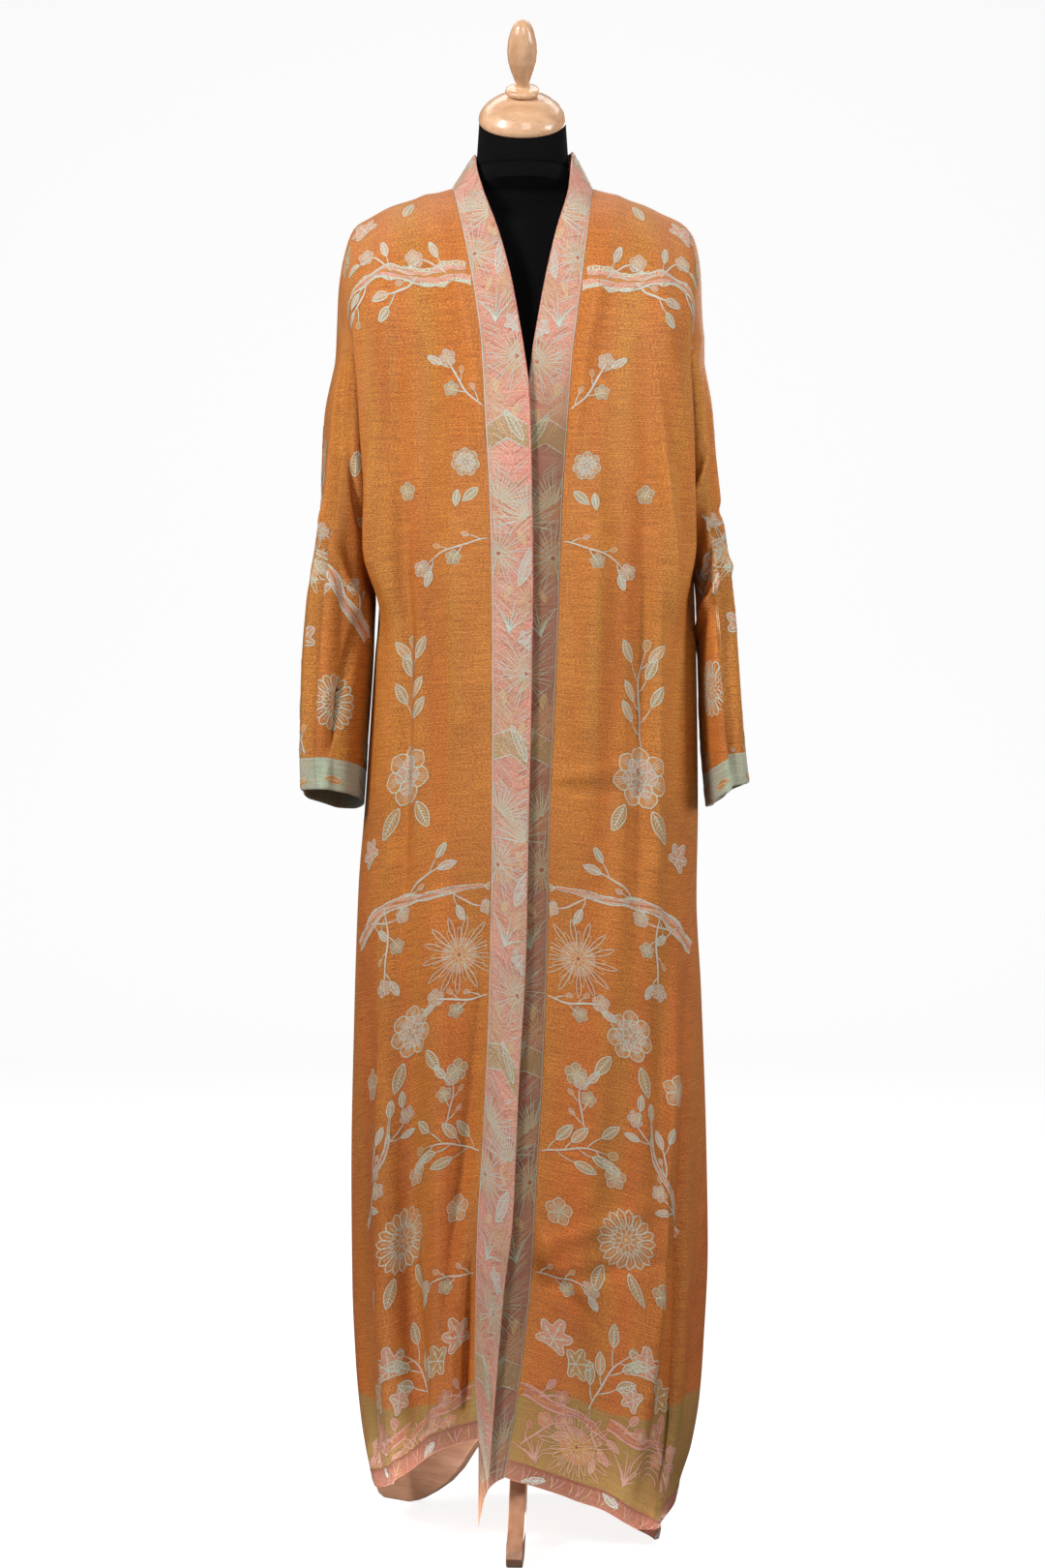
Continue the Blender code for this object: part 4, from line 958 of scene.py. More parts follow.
def bough(size, bend, width=0.016, twigs=3, part=0.015, fill=PINK, line=TEAL):
    """A crooked branch that thins towards its tip, with pale edges, bark lines and twigs to both hands."""
    path = resampled(bent(size, bend, 40, sway=13), PATCH_STEP)
    side = sideways(path)
    heading = headings(path)
    count = len(path)
    share = np.linspace(0, 1, count)
    run = share * size * 2 * math.pi
    swell = width * (1 - 0.78 * share) * (1 + 0.10 * np.sin(run / 0.041))
    places = [0.22 + 0.60 * k / max(twigs - 1, 1) for k in range(twigs)]
    for at in places:
        swell = swell + width * 0.22 * np.exp(-((share - at) / 0.045) ** 2)
    lines = []
    for k, offset in enumerate((-0.50, -0.34, -0.08, 0.12, 0.34, 0.50)):
        uneven = 0.06 * np.sin(run / 0.052 + k * 0.9) + 0.04 * np.sin(run / 0.019 + k * 2.1)
        lines.append(path + side * (swell * (offset + uneven))[:, None])
    stripes = ((line, 0.65), (fill, 0.7), (AMBER, 0.35), (fill, 0.75), (line, 0.5))
    shapes = [Shape(np.concatenate([lines[k], lines[k + 1]]), strip_faces(count), colour, 1, cover)
              for k, (colour, cover) in enumerate(stripes)]
    shapes += [stroke(lines[k], LINE, line) for k in (0, 5)]
    for k in range(1, 5):
        first = 1 + k % 3
        while first + 3 < count - 1:
            last = min(first + 3 + (k * 5 + first) % 4, count - 1)
            shapes.append(stroke(lines[k][first:last + 1], FINE_LINE, (line, ROSE, line)[(k + first) % 3]))
            first = last + 1 + (k + first) % 3
    for i in range(2, count - 3, 2):
        low, high, colour = ((1, 2, ROSE), (3, 4, line), (0, 1, ROSE))[i // 2 % 3]
        shapes.append(stroke([lines[low][i], lines[high][i + 1]], FINE_LINE, colour))
    for k, at in enumerate(places):
        i = int(at * (count - 1))
        hand = 1 if k % 2 else -1
        parts, tip = ("leaf bud", "bud leaf", "leaf leaf")[k % 3], ("blossom", "leaf")[k % 2]
        shoot = twig(size * 0.26, -hand * 34, parts, tip, part, fill, line)
        shapes += spun(shoot, heading[i] + hand * 52, path[i])
    return shapes + spun(leaf(part * 1.4, SAGE, line), heading[-1], path[-1])


def burst(size, rays=40, line=TEAL, other=STRAW, spread=360):
    """Fine rays from one point, long and short by turns."""
    shapes = [disc(size * 0.42, AMBER, cover=0.45)]
    for k in range(rays):
        turn = spread * (k + 0.5) / rays - spread / 2 + 2 * math.sin(k * 2.3)
        reach = size * (0.86 + 0.14 * math.sin(k * 1.7)) * (1.0 if k % 3 else 0.7)
        ray = stroke([(0, size * 0.06), (0, reach)], FINE_LINE, line if k % 3 else other)
        shapes += spun([ray], turn)
    return shapes + [disc(size * 0.05, INK, 4, 8, 0.9)]


def grass(size, blades=7, line=TEAL):
    """Bent blades from one root."""
    shapes = []
    for k in range(blades):
        lean = -38 + 76 * k / (blades - 1)
        blade = stroke(bent(size * (0.7 + 0.3 * math.cos(k * 1.9)), lean * 0.9), LINE, line)
        shapes += spun([blade], lean * 0.6)
    return shapes


def chevron(width):
    """A pointed stripe across the band."""
    reach, height = width / 2, width * 0.55
    outline = np.array([(-reach, 0), (0, height * 0.55), (reach, 0), (reach, height), (0, height * 1.55),
                        (-reach, height)])
    half = outline[[0, 1, 4, 5]]
    return [patch(half, SAGE, 1, 0.7), patch(half * [-1, 1], SAGE, 1, 0.7), stroke(outline[:3]),
            stroke(outline[3:])]


def arcs(size):
    """Half rings, one inside the other, as in a wave pattern."""
    ring = upward(np.radians(np.linspace(-90, 90, 25)))
    return [stroke(ring * size * (1 - k / 5.5), LINE, PINK, taper=False) for k in range(5)]


# Each motif: what draws it, and the settings that follow its size
MOTIFS = {
    "kiku": (kiku,), "peony": (peony,), "blossom": (blossom,), "blossom_sage": (blossom, SAGE),
    "spider": (spider,), "spider_hem": (spider, GROUND_GOLD, PINK, 34),
    "vine": (vine_leaf,), "vine_sage": (vine_leaf, SAGE),
    "leaf": (leaf,), "long_leaf": (leaf, PINK, TEAL, 0.26), "rust_leaf": (leaf, RUST, STRAW, 0.34),
    "grass": (grass,), "grass_hem": (grass, 9, PINK), "chevron": (chevron,), "arcs": (arcs,),
    "burst": (burst,), "burst_straw": (burst, 34, STRAW, PINK), "fan": (burst, 26, TEAL, STRAW, 150),
}
# The same for those that follow their size and bend
BENT_MOTIFS = {
    "twig": (twig,), "twig_leaves": (twig, "leaf leaf leaf leaf leaf leaf", "bud", 0.020, SAGE),
    "twig_buds": (twig, "bud blossom bud leaf", "blossom", 0.015),
    "twig_hem": (twig, "bud leaf blossom leaf", "blossom", 0.016, ROSE, PINK),
    "bough": (bough,), "wide_bough": (bough, 0.021, 4), "thin_bough": (bough, 0.009, 3, 0.014),
    "hem_bough": (bough, 0.015, 2, 0.013, ROSE, PINK),
}


def motif_shapes(motif):
    if motif.kind in BENT_MOTIFS:
        maker, *settings = BENT_MOTIFS[motif.kind]
        return maker(motif.size, motif.bend, *settings)
    maker, *settings = MOTIFS[motif.kind]
    return maker(motif.size, *settings)


Motif = namedtuple("Motif", "kind u v size turn bend", defaults=(0, 0))
# The design on each front panel, out from the band's seam and down from the shoulder line
FRONT_DESIGN = rows_of(Motif, """
    wide_bough 0 132 150 76d 20d, vine 108 50 21 20d, vine_sage 142 66 20 70d, leaf 60 56 24 -30d,
    twig_buds 0 262 70 52d -36d, peony 24 322 16, blossom_sage 92 352 11, twig_buds 0 405 85 96d 34d,
    leaf 12 350 22 130d, leaf 34 352 18 170d, twig_leaves 106 628 105 -12d 22d, peony 104 662 34,
    leaf 84 694 34 205d, leaf 120 696 38 150d, bough 186 838 190 -58d -44d, spider 34 872 44,
    twig_buds 132 800 90 192d -26d, vine 160 742 20 40d, peony 96 945 28, leaf 74 972 30 214d,
    leaf 110 976 32 160d, twig_buds 2 920 60 100d -30d, blossom 158 990 18, blossom_sage 36 1000 13,
    thin_bough 188 1140 130 -52d 40d, twig_leaves 0 1096 80 62d 30d, twig_buds 50 1060 55 -24d 30d,
    blossom 88 1104 13, kiku 106 1168 34, leaf 88 1202 34 205d, leaf 118 1204 32 156d, blossom 26 1156 16,
    twig_buds 0 1232 70 78d 24d, blossom_sage 158 1216 14, vine 30 1298 25 20d, vine_sage 58 1318 22 80d,
    twig_leaves 80 1362 80 14d 26d, vine 138 1298 25 0d, vine_sage 166 1322 23 60d, vine 128 1336 18 -70d,
    hem_bough 0 1362 110 92d 20d, hem_bough 104 1372 90 98d -24d, spider_hem 72 1407 44,
    twig_hem 10 1424 60 34d 24d, grass_hem 130 1430 40 10d, arcs 170 1412 34,
    twig_hem 205 1430 80 -20d -20d, grass_hem 30 1440 34 -20d""")
BACK_DESIGN = rows_of(Motif, """
    wide_bough -2 140 170 74d 24d, vine 98 80 24 20d, vine_sage 132 92 22 70d, leaf 50 70 26 -20d,
    peony 0 230 40, twig_leaves 24 262 110 60d 40d, spider 112 330 38, twig_buds 10 400 100 96d 34d,
    blossom 60 440 13, kiku 0 540 34, twig_leaves 112 628 110 -12d 22d, peony 110 662 34,
    leaf 90 696 36 205d, leaf 126 698 38 150d, bough 190 850 190 -58d -44d, spider 0 800 50,
    vine 160 742 20 40d, blossom 36 900 14, peony 112 968 30, leaf 94 1000 30 214d, leaf 136 994 32 140d,
    twig_buds 6 980 85 100d -30d, thin_bough 190 1140 150 -44d 40d, twig_leaves 6 1110 80 62d 30d,
    kiku 106 1178 34, leaf 88 1212 34 205d, leaf 118 1214 32 156d, kiku 0 1216 32, vine 30 1300 24 20d,
    vine_sage 56 1325 22 80d, twig_leaves 86 1380 80 14d 26d, vine 150 1310 24 0d,
    vine_sage 174 1335 22 60d, hem_bough 0 1374 110 88d 20d, hem_bough 108 1382 90 98d -20d,
    spider_hem 80 1425 44, twig_hem 10 1450 60 34d 24d, grass_hem 140 1450 40 10d, arcs 175 1440 36""")
# Round each sleeve, forwards from its outer side, and down from the shoulder
SLEEVE_DESIGN = rows_of(Motif, """
    vine 20 100 22 20d, vine_sage -20 120 22 80d, bough -40 190 150 40d 40d, peony 74 170 22,
    vine 108 120 20 50d, twig_leaves 118 270 80 12d 30d, blossom 40 250 14, spider -60 250 34,
    bough 104 372 130 -46d 50d, leaf 120 318 32 60d, long_leaf 84 330 50 40d, twig_leaves 36 440 90 10d 30d,
    peony 94 448 24, leaf 78 474 30 200d, leaf 106 478 28 150d, twig 110 560 70 -24d 30d,
    thin_bough 10 560 110 24d -40d, blossom 40 482 14, vine -60 330 22 10d, leaf -30 350 28 130d,
    twig_buds -80 500 110 10d 30d, kiku -120 400 32, bough -170 330 150 30d 30d, vine_sage -150 200 24 -30d,
    twig_leaves -150 540 100 -16d -30d, blossom 150 420 14, leaf 140 340 28 10d, vine -100 280 20 60d,
    leaf -110 150 30 20d, blossom -10 570 13""")
CUFF_DESIGN = [Motif("rust_leaf", u, 0.024, 0.024, 64 + 22 * (k % 3)) for k, u in
               enumerate(np.arange(-0.17, 0.18, 0.052))]
BAND_REPEAT = 0.340
BAND_REPEATS = 5
BAND_DESIGN_START = 0.040
# Where the painted shade of the band starts, on the side that lies under the other front, as a share from the
# neck to the hem, and over what length it darkens
BAND_SHADE_START = 0.22
BAND_SHADE_RUN = 0.12
# Height of the band's fullness and how far its edges are drawn in; height and lengths of its puckers
BAND_CROWN = (0.0009, 0.0003)
PUCKER = (0.0004, 0.043, 0.31)
HEM_CROWN = 0.0005
# Slanting threads of the band: distance along it, rise of each, and the places of their inner and outer ends
HATCH_STEP = 0.0040
HATCH_RISE = 0.013
HATCH_MIDDLE = 0.026
HATCH_GAP = 0.003
HATCH_START = 0.006
HATCH_WIDTH = 0.050
# Threads and leaves along the hem band
HEM_THREAD_STEP = 0.008
HEM_THREAD_RISE = (0.003, 0.0165)
HEM_THREAD_LEAN = 0.007
HEM_LEAF_STEP = 0.085
HEM_LEAF = 0.022
BAND_DESIGN = rows_of(Motif, """
    burst 38 0 46, rust_leaf 12 22 16 170d, burst_straw 6 52 42, rust_leaf 36 52 16 200d,
    long_leaf 40 92 40 -28d, chevron 23 104 50, fan 10 158 44 30d, fan 42 176 44 -40d,
    rust_leaf 30 190 17 150d, burst 8 214 46, long_leaf 30 248 46 20d, burst_straw 42 264 40,
    rust_leaf 14 262 16 30d, grass 18 300 40 12d, vine 38 306 14 30d""")


def drawn(design, mirror=False):
    shapes = [shape for motif in design for shape in moved(motif_shapes(motif), motif.u, motif.v, motif.turn)]
    if mirror:
        shapes += [shape._replace(points=shape.points * [-1, 1]) for shape in shapes]
    return shapes


def woven(name, cloth, shapes, material):
    """The design's shapes laid on the cloth as one thin piece."""
    points, faces, threads, lifts, start = [], [], [], [], 0
    for shape in shapes:
        points.append(shape.points)
        faces += [tuple(start + i for i in face) for face in shape.faces]
        threads.append(np.broadcast_to((*linear(shape.colour), shape.cover), (len(shape.points), 4)))
        lifts.append(np.full(len(shape.points), FIRST_LIFT + LAYER_LIFT * shape.layer))
        start += len(shape.points)
    flat, threads = np.concatenate(points), np.concatenate(threads)
    space, inside = cloth.at(flat, np.concatenate(lifts))
    faces = [face for face in faces if inside[list(face)].all()]
    used = np.unique(np.concatenate([np.array(face) for face in faces]))
    number = np.zeros(len(flat), int)
    number[used] = np.arange(len(used))
    faces = [tuple(int(number[i]) for i in face) for face in faces]
    obj = mesh_object(name, space[used], faces, [material], sharp=None)
    tint = obj.data.color_attributes.new("thread", "FLOAT_COLOR", "POINT")
    tint.data.foreach_set("color", threads[used].reshape(-1))
    corners = np.array([i for face in faces for i in face])
    set_flat_map(obj.data, flat[used][corners])
    face_out(obj, cloth, flat[used])
    return obj


def face_out(obj, cloth, flat):
    """Turns each face of a thin piece to the cloth's outer side."""
    work = bmesh.new()
    work.from_mesh(obj.data)
    work.verts.ensure_lookup_table()
    lifted, _ = cloth.at(flat, np.full(len(flat), 0.01))
    for face in work.faces:
        vert = face.verts[0]
        out = Vector(lifted[vert.index]) - vert.co
        if face.normal.dot(out) < 0:
            face.normal_flip()
    work.to_mesh(obj.data)
    work.free()


class Nodes:
    """A material's node tree, with one short call for each node."""

    def __init__(self, name):
        self.material = bpy.data.materials.new(name)
        self.material.use_nodes = True
        self.tree = self.material.node_tree
        self.shader = self.tree.nodes["Principled BSDF"]

    def add(self, kind, settings=None, **inputs):
        node = self.tree.nodes.new(kind)
        for key, value in (settings or {}).items():
            setattr(node, key, value)
        for key, value in inputs.items():
            self.feed(node.inputs[int(key[1:]) if key[0] == "i" and key[1:].isdigit() else key], value)
        return node

    def feed(self, socket, value):
        if isinstance(value, bpy.types.NodeSocket):
            self.tree.links.new(value, socket)
        else:
            socket.default_value = value

    def flat(self):
        """The flat cloth coordinates."""
        return self.add("ShaderNodeUVMap", {"uv_map": "flat"}).outputs[0]

    def part(self, vector, axis):
        return self.add("ShaderNodeSeparateXYZ", None, Vector=vector).outputs[axis]

    def maths(self, operation, a, b=0.0):
        return self.add("ShaderNodeMath", {"operation": operation}, i0=a, i1=b).outputs[0]

    def wave(self, distance, period):
        return self.maths("SINE", self.maths("MULTIPLY", distance, 2 * math.pi / period))

    def noise(self, vector, scale, detail):
        """Noise as fine along each axis as its scale says."""
        mapped = self.add("ShaderNodeMapping", None, Vector=vector, Scale=scale).outputs[0]
        return self.add("ShaderNodeTexNoise", None, Vector=mapped, Scale=1.0, Detail=detail).outputs["Fac"]

    def ramp(self, factor, low, high):
        return self.add("ShaderNodeMapRange", None, i0=factor, i1=low, i2=high).outputs[0]

    def spots(self, vector, scale, detail, low, high):
        """Noise cut to the range between low and high."""
        return self.ramp(self.noise(vector, scale, detail), low, high)

    def blend(self, factor, a, b, kind="MIX"):
        node = self.add("ShaderNodeMix", {"data_type": "RGBA", "blend_type": kind})
        self.feed(node.inputs[0], factor)
        for socket, colour in zip(node.inputs[6:8], (a, b)):
            self.feed(socket, (*colour, 1.0) if isinstance(colour, tuple) else colour)
        return node.outputs[2]

    def bump(self, height, distance, strength=1.0, after=None):
        node = self.add("ShaderNodeBump", None, Height=height, Distance=distance, Strength=strength)
        if after is not None:
            self.feed(node.inputs["Normal"], after)
        return node.outputs[0]

    def set(self, **values):
        for key, value in values.items():
            self.feed(self.shader.inputs[key.replace("_", " ")], value)
        return self.material


# The weave's repeat, and the scales of its slubs, flecks and specks across and along the cloth
THREAD = 0.00075
SLUB = (45.0, 800.0, 1.0)
FLECK = (420.0, 900.0, 1.0)
SPECK = (460.0, 600.0, 3.0)
# Width of a rib of the black knit, and height of its courses
KNIT = (0.0011, 0.0008)
# How far the border's edge follows the threads up and down
BORDER_TEETH = 0.004
# Unevenness of the cloth's surface: scale and detail of the noise, its height and its strength
UNEVEN = (((120.0, 420.0, 1.0), 3.0, 0.0008, 0.5), ((14.0, 46.0, 1.0), 2.0, 0.0020, 0.35),
          ((24.0, 9.0, 1.0), 2.0, 0.0060, 0.55))


def weave(nodes, flat, depth):
    """Over and under of the threads, with soft unevenness of the cloth below it."""
    warp, weft = (nodes.wave(nodes.part(flat, axis), THREAD) for axis in (0, 1))
    normal = nodes.bump(nodes.maths("MULTIPLY", warp, weft), depth, 0.6)
    for scale, detail, height, strength in UNEVEN:
        normal = nodes.bump(nodes.noise(flat, scale, detail), height, strength, normal)
    return normal


def threads_of(nodes, flat, contrast):
    """How much each spot shows of one thread or the other, from 0 to 1."""
    fleck = nodes.spots(flat, FLECK, 1.0, 0.5 - 0.10 / contrast, 0.5 + 0.10 / contrast)
    slub = nodes.spots(flat, SLUB, 2.0, 0.36, 0.64)
    return nodes.maths("ADD", nodes.maths("MULTIPLY", fleck, 0.65), nodes.maths("MULTIPLY", slub, 0.35))


# Painted shade along a cloth: from where, to where, and what the ground and the figures are multiplied by
PaintedShade = namedtuple("PaintedShade", "start end ground figures")
# Painted shade: the skirt's ground and design turn darker and redder towards the hem, where less light and
# lustre fall.
SKIRT_PAINTED_SHADE = PaintedShade(0.55, 1.20, (0.97, 0.80, 0.66), (0.97, 0.92, 0.87))


# Multiplies a colour darker along the cloth: painted shade.
def with_painted_shade(nodes, flat, colour, shade, figures=False):
    if shade is None:
        return colour
    darker = nodes.blend(1.0, colour, shade.figures if figures else shade.ground, "MULTIPLY")
    return nodes.blend(nodes.ramp(nodes.part(flat, 1), shade.start, shade.end), colour, darker)


# Unevenness of the ground's colour: the noise, and what its low and its high spots multiply the colour by
Tone = namedtuple("Tone", "scale detail low high low_colour high_colour")
TONES = [
    Tone((26.0, 1.4, 1.0), 3.0, 0.38, 0.62, (1.02, 0.84, 0.78), (0.97, 1.06, 0.94)),
    Tone((10.0, 7.0, 1.0), 2.0, 0.34, 0.66, (0.90, 0.86, 0.84), (1.06, 1.06, 1.06)),
    Tone((14.0, 420.0, 1.0), 2.0, 0.40, 0.62, (0.90, 0.88, 0.84), (1.05, 1.05, 1.05)),
]


def cloth_material(name, threads, sheen=0.03, tint=(1.0, 0.62, 0.42), border=None, shade=None,
                   lustre=(1.0, 0.82, 0.50)):
    """Jacquard ground: two colours of thread in flecks with pale specks, slow bands of tone along the warp
    and a coloured lustre."""
    nodes = Nodes(name)
    flat = nodes.flat()
    share = threads_of(nodes, flat, 1.0)
    colour = nodes.blend(share, *map(linear, threads))
    if border:
        other = nodes.blend(share, *map(linear, border))
        edge = nodes.add("ShaderNodeAttribute", {"attribute_name": "border"}).outputs["Fac"]
        uneven = nodes.maths("MULTIPLY", nodes.maths("SUBTRACT", share, 0.5), BORDER_TEETH)
        above = nodes.maths("GREATER_THAN", nodes.maths("ADD", edge, uneven), 0.0)
        colour = nodes.blend(above, colour, other)
    speck = nodes.spots(flat, SPECK, 1.0, 0.56, 0.70)
    colour = nodes.blend(nodes.maths("MULTIPLY", speck, 0.32), colour, linear(SPECK_COLOUR))
    for tone in TONES:
        change = nodes.blend(nodes.spots(flat, *tone[:4]), tone.low_colour, tone.high_colour)
        colour = nodes.blend(1.0, colour, change, "MULTIPLY")
    return nodes.set(Base_Color=with_painted_shade(nodes, flat, colour, shade), Roughness=0.5,
                     Normal=weave(nodes, flat, 0.00022), Sheen_Weight=sheen, Sheen_Roughness=0.4,
                     Sheen_Tint=(*tint, 1.0), Specular_IOR_Level=0.8, Specular_Tint=(*lustre, 1.0))


def design_material(name, gaps, shade=None):
    """Threads of the design. Where a shape covers little, the ground shows between them."""
    nodes = Nodes(name)
    flat = nodes.flat()
    thread = nodes.add("ShaderNodeAttribute", {"attribute_name": "thread"})
    share = threads_of(nodes, flat, 1.4)
    behind = nodes.blend(share, *map(linear, gaps))
    covered = nodes.ramp(nodes.maths("SUBTRACT", thread.outputs["Alpha"], share), -0.22, 0.22)
    pale = nodes.maths("MULTIPLY", nodes.spots(flat, (520.0, 300.0, 7.0), 1.0, 0.50, 0.66), 0.14)
    mixed = nodes.blend(pale, thread.outputs["Color"], linear(PALE_THREAD))
    colour = nodes.blend(covered, with_painted_shade(nodes, flat, behind, shade), with_painted_shade(nodes, flat, mixed, shade, True))
    return nodes.set(Base_Color=colour, Roughness=0.55, Normal=weave(nodes, flat, 0.0003),
                     Sheen_Weight=0.06, Sheen_Roughness=0.4, Specular_IOR_Level=0.6)


def jersey_material():
    """Matt black knit in fine ribs."""
    nodes = Nodes("black_knit")
    flat = nodes.flat()
    wale, course = (nodes.wave(nodes.part(flat, axis), KNIT[axis]) for axis in (0, 1))
    knit = nodes.bump(nodes.maths("ADD", wale, nodes.maths("MULTIPLY", course, 0.5)), 0.0002, 0.5)
    soft = nodes.bump(nodes.noise(flat, (40.0, 30.0, 1.0), 2.0), 0.0010, 0.4, knit)
    lint = nodes.spots(flat, (1400.0, 1400.0, 1.0), 1.0, 0.62, 0.80)
    colour = nodes.blend(lint, (0.0022, 0.0018, 0.0020), (0.0050, 0.0046, 0.0050))
    return nodes.set(Base_Color=colour, Roughness=0.9, Normal=soft, Specular_IOR_Level=0.10)


def wood_material(name, along, pale=(220, 178, 140), dark=(192, 144, 106), gloss=0.36, coat=0.35):
    """Clear-varnished beech: fine flecks and slow figure along the grain."""
    nodes = Nodes(name)
    spot = nodes.add("ShaderNodeTexCoord").outputs["Object"]
    slow, fine = ([long if axis == along else short for axis in range(3)]
                  for long, short in ((9.0, 90.0), (70.0, 1100.0)))
    warp = nodes.noise(spot, (18.0, 18.0, 18.0), 2.0)
    mapped = nodes.add("ShaderNodeMapping", None, Vector=spot, Scale=slow).outputs[0]
    shift = nodes.add("ShaderNodeCombineXYZ", None, X=warp, Y=warp, Z=warp).outputs[0]
    waved = nodes.add("ShaderNodeVectorMath", {"operation": "ADD"}, i0=mapped, i1=shift).outputs[0]
    grain = nodes.add("ShaderNodeTexNoise", None, Vector=waved, Scale=1.0, Detail=3.0).outputs["Fac"]
    figure = nodes.ramp(grain, 0.3, 0.7)
    fleck = nodes.spots(spot, fine, 1.0, 0.55, 0.72)
    colour = nodes.blend(figure, linear(dark), linear(pale))
    colour = nodes.blend(nodes.maths("MULTIPLY", fleck, 0.45), colour, linear(tuple(c * 0.72 for c in dark)))
    return nodes.set(Base_Color=colour, Roughness=gloss, Normal=nodes.bump(fleck, 0.0001, 0.25),
                     Coat_Weight=coat, Coat_Roughness=0.12)


def ride(obj, slot, *nodes):
    """Sets a piece on the part, in place of these solids."""
    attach(obj, "root")
    if nodes:
        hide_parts(*nodes)
    return obj


# The sage border near the hem: height of its upper edge over the flat distance from the seam
Edge = namedtuple("Edge", "u z")
BORDER = rows_by(Edge, """
    0 190, 30 172, 70 160, 120 152, 200 150;
    0 170, 30 176, 60 168, 100 150, 150 142, 200 152;
    0 180, 50 165, 100 152, 200 150;
    0 180, 50 168, 100 158, 200 152""", PANELS)


def add_border(obj, cloth, stops):
    """Stores how far each point lies inside the hem's border."""
    height = np.stack([curve(BORDER[key], "z", np.abs(cloth.u[:, c])) for c, key in enumerate(stops)], axis=1)
    inside = (height - cloth.grid[..., 2]).reshape(-1)
    values = np.zeros(len(obj.data.vertices))
    values[:2 * len(inside)] = np.tile(inside, 2)
    store(obj, "border", values)


def flat_size(cloth, width):
    return round(float(width), 3), round(float(cloth.v[-1]), 3)


def dressed(obj, figure, slot, node, flat, **rests):
    """Sets a cloth and its design on the part, in place of the part's solid. The flat size it is given is not
    used.
    """
    ride(obj, slot, node)
    ride(figure, slot)


def make_panels(ground, inner, design):
    downs = panel_downs()[:, None]
    made = []
    for side in SIDES:
        acrosses = panel_acrosses(FRONT)
        cloth = Cloth(panel_point(side, FRONT, acrosses[None, :], downs))
        cloth = cloth.displaced(hang_creases(side, FRONT, cloth.u, cloth.grid[..., 2]) * edge_fade(cloth))
        made.append((f"front_{side}", cloth, [(side, FRONT)] * len(acrosses), drawn(FRONT_DESIGN)))
    half = panel_acrosses(BACK)
    stops = [("right", a) for a in half[::-1]] + [("left", a) for a in half[1:]]
    grid = np.stack([panel_point(side, BACK, across, downs[:, 0]) for side, across in stops], axis=1)
    zero = len(half) - 1
    cloth = Cloth(eased(grid, downs), zero=zero)
    height = np.concatenate([hang_creases("right", BACK, -cloth.u[:, :zero], grid[:, :zero, 2]),
                             hang_creases("left", BACK, cloth.u[:, zero:], grid[:, zero:, 2])], axis=1)
    cloth = cloth.displaced(height * edge_fade(cloth), zero)
    made.append(("back", cloth, [(side, BACK) for side, _ in stops], drawn(BACK_DESIGN, mirror=True)))
    for node, cloth, keys, shapes in made:
        obj = shell(f"{node}_cloth", cloth, CLOTH, [ground, inner])
        add_border(obj, cloth, keys)
        figure = woven(f"{node}_design", cloth, shapes, design)
        dressed(obj, figure, "robe_cloth", node, flat_size(cloth, np.ptp(cloth.u, axis=1).max()),
                rests_on=["form_torso_cover"])


def eased(grid, downs):
    """The back with the two ridges below the neck points drawn soft, and its edges as they were."""
    smooth = grid.copy()
    for _ in range(EASE_ROUNDS):
        smooth[:, 1:-1] = (smooth[:, :-2] + 2 * smooth[:, 1:-1] + smooth[:, 2:]) / 4
    weight = soft_step(downs / 0.5) * soft_step((1.7 - downs) / 0.7)
    weight = weight * soft_step((from_ends(grid.shape[1]) - EASE_MARGIN) / EASE_BLEND)
    return mix(grid, smooth, weight[..., None])


def from_ends(count):
    """How many steps each place in a row is from the nearer end."""
    return np.minimum(np.arange(count), np.arange(count)[::-1])


def edge_fade(cloth):
    """Lets the smaller creases die out at the sewn edges."""
    rows, columns = map(from_ends, cloth.grid.shape[:2])
    across = np.clip(columns / EDGE_FADE[0], 0.0, 1.0)
    return across[None, :] * np.clip(rows / EDGE_FADE[1], 0.0, 1.0)[:, None]


def make_sleeves(ground, inner, cuff_cloth, design):
    half = np.linspace(0, math.pi, SLEEVE_STEPS // 2 + 1)
    angles = np.concatenate([half, (2 * math.pi - half)[::-1][1:-1]])[None, :]
    outer = SLEEVE_STEPS // 2
    for side in SIDES:
        grid = sleeve_point(side, angles, np.linspace(0, 1, SLEEVE_DROP_STEPS)[:, None])
        cloth = Cloth(grid, ring=True, zero=outer)
        crown = RIDGE[side][-1].z
        seam = cuff_level(side, angles) + CUFF_DEPTH
        heights = np.linspace(crown, float(seam.min()), TUBE_STEPS)[:, None]
        limit = np.minimum(sleeve_top(side, angles) - heights, heights - seam) - SEAM_MARGIN
        tube = Cloth(sleeve_at(side, angles, heights), ring=True, zero=outer, limit=limit)
        middle = np.argmin(np.abs(heights[:, 0] - UNDERARM_LEVEL))
        flat = np.stack(np.broadcast_arrays(tube.u[middle, :-1][None, :], crown - grid[..., 2]), axis=-1)
        obj = shell(f"sleeve_{side}_cloth", cloth, CLOTH, [ground, inner], flat=flat)
        store(obj, "border", np.full(len(obj.data.vertices), -1.0))
        figure = woven(f"sleeve_{side}_design", tube, drawn(SLEEVE_DESIGN), design)
        size = flat_size(cloth, np.ptp(cloth.u[-1]))
        dressed(obj, figure, "robe_cloth", f"sleeve_{side}", size)
        grid = sleeve_point(side, angles, np.linspace(1, 2, CUFF_STEPS)[:, None])
        cuff = Cloth(grid, ring=True, zero=outer)
        obj = shell(f"cuff_{side}_cloth", cuff, DOUBLE_CLOTH, [cuff_cloth], rounded=("bottom",))
        figure = woven(f"cuff_{side}_design", cuff, drawn(CUFF_DESIGN), design)
        dressed(obj, figure, "cuff_cloth", f"cuff_{side}", (size[0], CUFF_DEPTH))


def collar_point(side, share):
    """A point of the band's free edge above the chest."""
    return place(side, *(curve(COLLAR[side], name, share) for name in ("out", "y", "z")))


